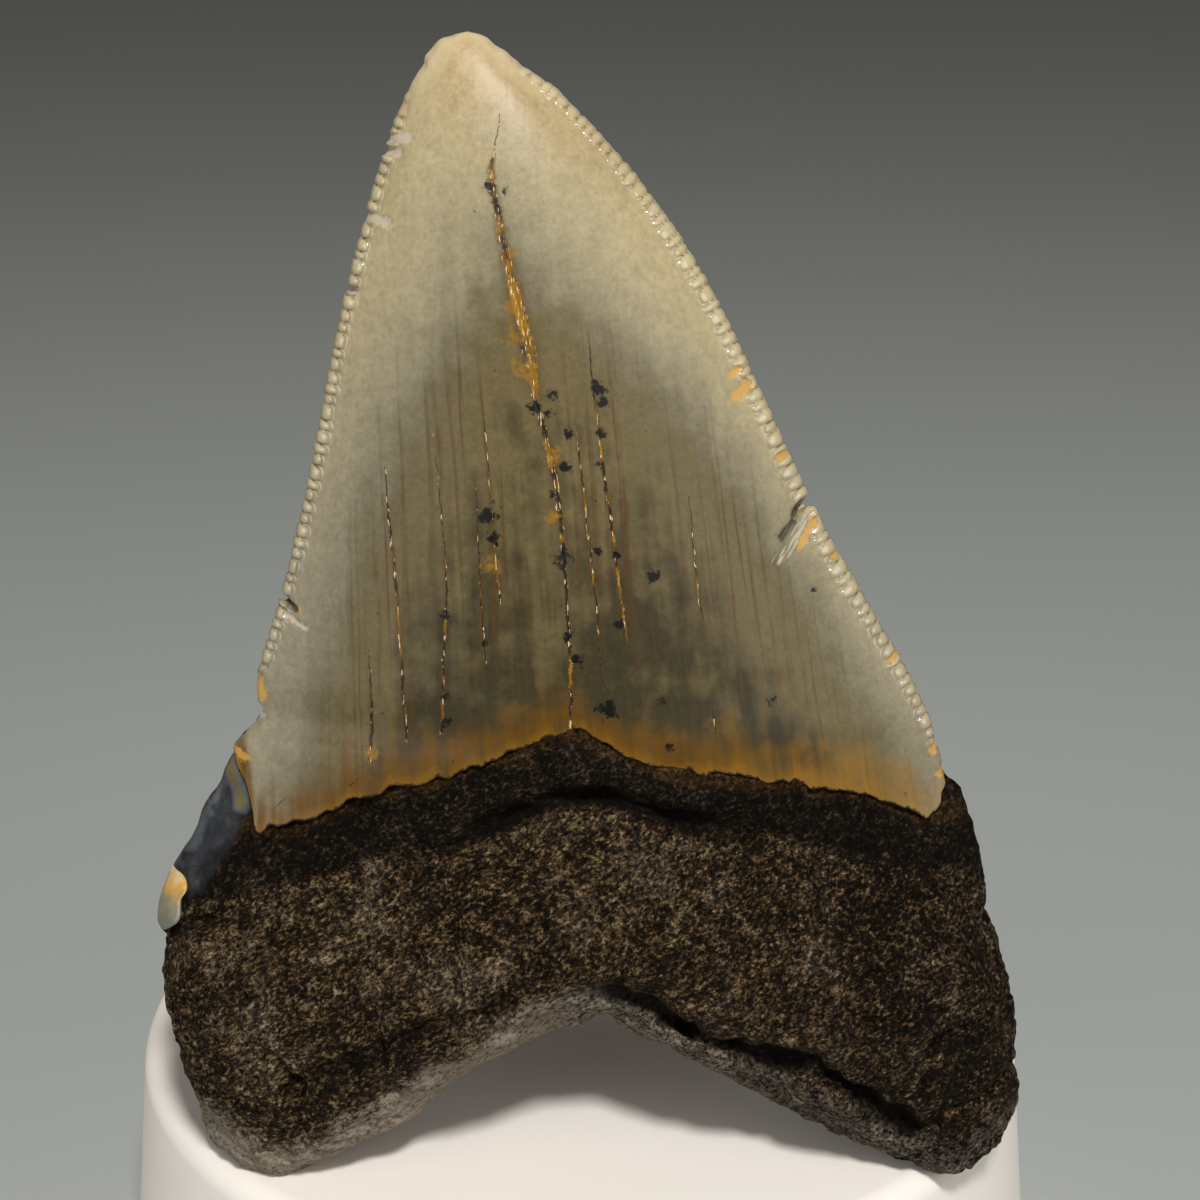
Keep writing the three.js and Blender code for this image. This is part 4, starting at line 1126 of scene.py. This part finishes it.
def root_material(shape, colours):
    """Fossil dentine of the root: mineralised, porous and matte, nearly black with fine ochre grains, and
    smooth where it broke."""
    material, tree, shader = new_material("Fossil dentine", IOR=1.5)
    place = tooth_place(tree, shape)
    (broken, collar, hollow_shade), (lip, section, shade), rust = marks_on(tree, "skin", "tone", "rust")
    fibre = add(tree, "Mapping", {"Vector": place, "Rotation": (0, radians(-35), 0),
                                  "Scale": (0.4, 0.34, 0.27)}, vector_type="TEXTURE")[0]
    sand = add(tree, "TexNoise", {"Vector": fibre, "Scale": 1, "Detail": 5, "Roughness": 0.8})[0]
    grit = add(tree, "TexNoise", {"Vector": place, "Scale": 1 / 1.1, "Detail": 6, "Roughness": 0.75})[0]
    patch = add(tree, "TexNoise", {"Vector": place, "Scale": 1 / 5, "Detail": 5, "Roughness": 0.65})[0]

    # Grains, clusters of grains and broad patches add up to one tone, less the painted shade, which darkens
    # the
    #     root towards the right and lightens the arch's lips on the left. Light grains are ashen in pale
    #     patches and along the arch, dimmed on the collar, and lost under painted shade in the groove and
    #     furrows.
    lit = add(tree, "MapRange", {"Value": grit, "To Min": -0.2, "To Max": 0.2})[0]
    lit = add(tree, "Math", {0: sand, 1: 1.05, 2: lit}, operation="MULTIPLY_ADD")[0]
    wide = add(tree, "MapRange", {"Value": patch, "To Min": -0.135, "To Max": 0.055})[0]
    lit = add(tree, "Math", {0: lit, 1: wide}, operation="ADD")[0]
    lit = add(tree, "Math", {0: lit, 1: shade}, operation="SUBTRACT")[0]
    # The ramp's brightest stop is painted glints of light on the grains.
    colour = add(tree, "ValToRGB", {0: lit}, stops=[(0.4, colours.root_dark), (0.72, colours.root_glint),
                                                    (0.5, colours.root_mid), (0.58, colours.root_grain)])[0]
    pale = add(tree, "MapRange", {"Value": patch, "From Min": 0.5, "From Max": 0.7, "To Max": 0.2})[0]
    pale = add(tree, "Math", {0: pale, 1: lip}, operation="MAXIMUM")[0]
    ashen = add(tree, "MapRange", {"Value": lit, "From Min": 0.38, "From Max": 0.62, "To Max": 0.75})[0]
    ashen = add(tree, "Math", {0: ashen, 1: pale}, operation="MULTIPLY")[0]
    dim = add(tree, "MapRange", {"Value": lit, "From Min": 0.4, "From Max": 0.7, "To Min": 0.95,
                                 "To Max": 0.7})[0]
    dim = add(tree, "Math", {0: dim, 1: collar}, operation="MULTIPLY")[0]
    # Painted shade: the groove under the collar and the furrows darkened to the root's dark ground.
    dark = add(tree, "MapRange", {"Value": hollow_shade, "From Min": 0.35, "From Max": 0.85, "To Max": 0.92})[0]

    # Where the root broke, a painted sheen of grey lies on the dark dentine, and the enamel's section is
    # banded from dark to olive.
    fibrous = add(tree, "MapRange", {"Value": grit, "To Min": -0.9, "To Max": 0.9})[0]
    section = add(tree, "Math", {0: fibrous, 1: section, 2: section}, operation="MULTIPLY_ADD")[0]
    banded = add(tree, "ValToRGB", {0: section}, stops=[(0.1, colours.dentine), (1, colours.core),
                                                        (0.6, colours.section)])[0]
    section = add(tree, "MapRange", {"Value": section, "From Max": 0.2})[0]
    painted_sheen = add(tree, "MapRange", {"Value": grit, "From Min": 0.45, "From Max": 0.75, "To Max": 0.35})[0]
    dentine = add(tree, "Mix", {0: painted_sheen, 6: colours.dentine, 7: colours.section}, data_type="RGBA")[2]
    loose = add(tree, "MapRange", {"Value": lit, "From Min": 0.36, "From Max": 0.6, "To Max": 0.4})[0]
    rusty = add(tree, "Math", {0: rust[0], 1: loose}, operation="MULTIPLY")[0]
    colour = layered(tree, colour, ((ashen, colours.lip), (dim, colours.collar), (rusty, colours.notch),
                                    (dark, colours.root_dark), (broken, dentine), (section, banded)))

    # Broken dentine is smooth and has a soft shine, and the rest is rough and dull.
    gloss = add(tree, "MapRange", {"Value": broken, "To Min": 0.68, "To Max": 0.32})[0]
    shine = add(tree, "MapRange", {"Value": broken, "To Min": 0.06, "To Max": 0.3})[0]
    rough = add(tree, "MapRange", {"Value": broken, "To Min": 1, "To Max": 0.2})[0]
    coarse = add(tree, "Math", {0: sand, 1: rough}, operation="MULTIPLY")[0]
    bump = add(tree, "Bump", {"Height": coarse, "Strength": 1, "Distance": 0.36 * MM})[0]
    connect(tree, shader, Base_Color=colour, Roughness=gloss, Specular_IOR_Level=shine, Normal=bump)
    return material


def flake_material(shape, colours):
    """A remnant of the same enamel, weathered: amber and cream above, grey below, with a soft gloss."""
    material, tree, shader = new_material("Weathered enamel", IOR=1.55, Roughness=0.35)
    place = tooth_place(tree, shape)
    cloud = add(tree, "TexNoise", {"Vector": place, "Scale": 1 / 0.8, "Detail": 4})[0]
    height = add(tree, "SeparateXYZ", {0: place})[2]
    uneven = add(tree, "MapRange", {"Value": cloud, "To Min": -1.5, "To Max": 1.5})[0]
    height = add(tree, "Math", {0: height, 1: uneven}, operation="ADD")[0]
    share = add(tree, "MapRange", {"Value": height, "From Min": 19.5, "From Max": 23})[0]
    colour = add(tree, "ValToRGB", {0: share}, stops=[(0.1, colours.veil), (1, colours.bead),
                                                      (0.5, colours.margin_low), (0.8, colours.facet)])[0]
    connect(tree, shader, Base_Color=colour)
    return material


def plaster_material(stand):
    """Cast plaster: dull, off-white and even, with the faint grain of the mould."""
    material, tree, shader = new_material("Cast plaster", Roughness=0.7)
    place = add(tree, "TexCoord")["Object"]
    cloud = add(tree, "TexNoise", {"Vector": place, "Scale": 1 / (20 * MM), "Detail": 3})[0]
    darker = tuple(0.94 * v for v in stand.plaster[:3]) + (1,)
    colour = add(tree, "Mix", {0: cloud, 6: stand.plaster, 7: darker}, data_type="RGBA")[2]
    grit = add(tree, "TexNoise", {"Vector": place, "Scale": 1 / (0.4 * MM), "Detail": 3})[0]
    bump = add(tree, "Bump", {"Height": grit, "Strength": 0.15, "Distance": 0.05 * MM})[0]
    connect(tree, shader, Base_Color=colour, Normal=bump)
    return material


def floor_material(stage):
    """Painted board: pale grey and matte, with a barely uneven tone."""
    material, tree, shader = new_material("Painted board", Roughness=0.6)
    place = add(tree, "TexCoord")["Object"]
    cloud = add(tree, "TexNoise", {"Vector": place, "Scale": 1 / (150 * MM), "Detail": 2})[0]
    darker = tuple(0.95 * v for v in stage.floor[:3]) + (1,)
    colour = add(tree, "Mix", {0: cloud, 6: stage.floor, 7: darker}, data_type="RGBA")[2]
    connect(tree, shader, Base_Color=colour)
    return material


class FOSSIL_OT_crown(bpy.types.Operator):
    """Build the serrated enamel crown"""
    bl_idname = "fossil.crown"
    bl_label = "Enamel crown"

    def execute(self, context):
        shape, colours = context.scene.fossil_shape, context.scene.fossil_colours
        crown = tooth_piece(shape, "crown", crown_sheet, CROWN_GRID, open_row=-1, pole=True)
        finish_piece(crown, enamel_material(shape, colours), "tooth")
        return {"FINISHED"}


class FOSSIL_OT_root(bpy.types.Operator):
    """Build the two-lobed root, standing on the plinth"""
    bl_idname = "fossil.root"
    bl_label = "Root"

    def execute(self, context):
        shape, colours = context.scene.fossil_shape, context.scene.fossil_colours
        root = tooth_piece(shape, "root", root_sheet, ROOT_GRID, open_row=0, pole=False)
        finish_piece(root, root_material(shape, colours), "tooth")
        return {"FINISHED"}


class FOSSIL_OT_flake(bpy.types.Operator):
    """Build the remnant of enamel on the root's left shoulder"""
    bl_idname = "fossil.flake"
    bl_label = "Enamel flake"

    def execute(self, context):
        shape, colours = context.scene.fossil_shape, context.scene.fossil_colours
        finish_piece(flake_piece(shape), flake_material(shape, colours), "tooth")
        return {"FINISHED"}


class FOSSIL_OT_plinth(bpy.types.Operator):
    """Build the round plaster stand"""
    bl_idname = "fossil.plinth"
    bl_label = "Plinth"

    def execute(self, context):
        stand = context.scene.fossil_stand
        finish_piece(plinth_piece(stand), plaster_material(stand), "stand")
        return {"FINISHED"}


class FOSSIL_OT_stage(bpy.types.Operator):
    """Lay the floor, hang the lights and set up the camera"""
    bl_idname = "fossil.stage"
    bl_label = "Stage"

    def execute(self, context):
        scene, stage = context.scene, context.scene.fossil_stage
        mesh = bpy.data.meshes.new("floor")
        corners = [(-FLOOR_HALF_WIDTH, FLOOR_NEAR, 0), (FLOOR_HALF_WIDTH, FLOOR_NEAR, 0),
                   (FLOOR_HALF_WIDTH, FLOOR_FAR, 0), (-FLOOR_HALF_WIDTH, FLOOR_FAR, 0)]
        mesh.from_pydata(corners, [], [(0, 1, 2, 3)])
        floor = bpy.data.objects.new("floor", mesh)
        floor.data.materials.append(floor_material(stage))
        scene.collection.objects.link(floor)

        world = bpy.data.worlds.new("Studio")
        world.use_nodes = True
        background = world.node_tree.nodes["Background"]
        background.inputs["Color"].default_value = stage.fill_colour
        background.inputs["Strength"].default_value = stage.fill
        scene.world = world

        for name, size, distance, power, turn, height in (
                ("key", KEY_SIZE, KEY_DISTANCE, stage.key_power, KEY_TURN, stage.key_angle),
                ("side_left", SIDE_SIZE, SIDE_DISTANCE, stage.side_power, -SIDE_TURN, SIDE_HEIGHT),
                ("side_right", SIDE_SIZE, SIDE_DISTANCE, stage.side_power, SIDE_TURN, SIDE_HEIGHT)):
            lamp = bpy.data.lights.new(name, "AREA")
            lamp.shape = "DISK"
            lamp.size = size
            lamp.energy = power
            light = bpy.data.objects.new(name, lamp)
            towards = Vector((sin(turn) * cos(height), -cos(turn) * cos(height), sin(height)))
            light.location = LAMP_AIM + towards * distance
            light.rotation_euler = towards.to_track_quat("Z", "Y").to_euler()
            scene.collection.objects.link(light)

        view = bpy.data.cameras.new("camera")
        view.sensor_width = PHOTO_SENSOR
        view.lens = PHOTO_LENS
        camera = bpy.data.objects.new("camera", view)
        x, y, z = CAMERA_PLACE
        camera.location = (x * MM, y * MM, z * MM + STAND_HIGH.z)
        camera.rotation_euler = (pi / 2 - CAMERA_TILT, 0, 0)
        view.clip_start = CAMERA_NEAR
        scene.collection.objects.link(camera)
        scene.camera = camera
        scene.view_settings.view_transform = "Standard"
        return {"FINISHED"}


OPERATORS = (FOSSIL_OT_plinth, FOSSIL_OT_root, FOSSIL_OT_crown, FOSSIL_OT_flake, FOSSIL_OT_stage)
GROUPS = {"fossil_shape": ToothShape, "fossil_colours": ToothColours, "fossil_stand": StandShape,
          "fossil_stage": StageSettings}


class FOSSIL_PT_sidebar(bpy.types.Panel):
    """The tooth's sizes and colours, and the buttons that build it"""
    bl_idname = "FOSSIL_PT_sidebar"
    bl_label = "Fossil Tooth"
    bl_space_type = "VIEW_3D"
    bl_region_type = "UI"
    bl_category = "Fossil"

    def draw(self, context):
        for group in GROUPS:
            box = self.layout.box()
            settings = getattr(context.scene, group)
            for name in settings.__annotations__:
                box.prop(settings, name)
        for operator in OPERATORS:
            self.layout.operator(operator.bl_idname)


CLASSES = tuple(GROUPS.values()) + OPERATORS + (FOSSIL_PT_sidebar,)


def register():
    """Register the classes, and give the scene their settings."""
    for cls in CLASSES:
        bpy.utils.register_class(cls)
    for name, group in GROUPS.items():
        setattr(bpy.types.Scene, name, PointerProperty(type=group))


def unregister():
    """Take away what register added."""
    for name in GROUPS:
        delattr(bpy.types.Scene, name)
    for cls in reversed(CLASSES):
        bpy.utils.unregister_class(cls)


def main():
    """Build every piece and the stage."""
    register()
    bpy.ops.fossil.plinth()
    bpy.ops.fossil.root()
    bpy.ops.fossil.crown()
    bpy.ops.fossil.flake()
    bpy.ops.fossil.stage()


if __name__ == "__main__":
    main()
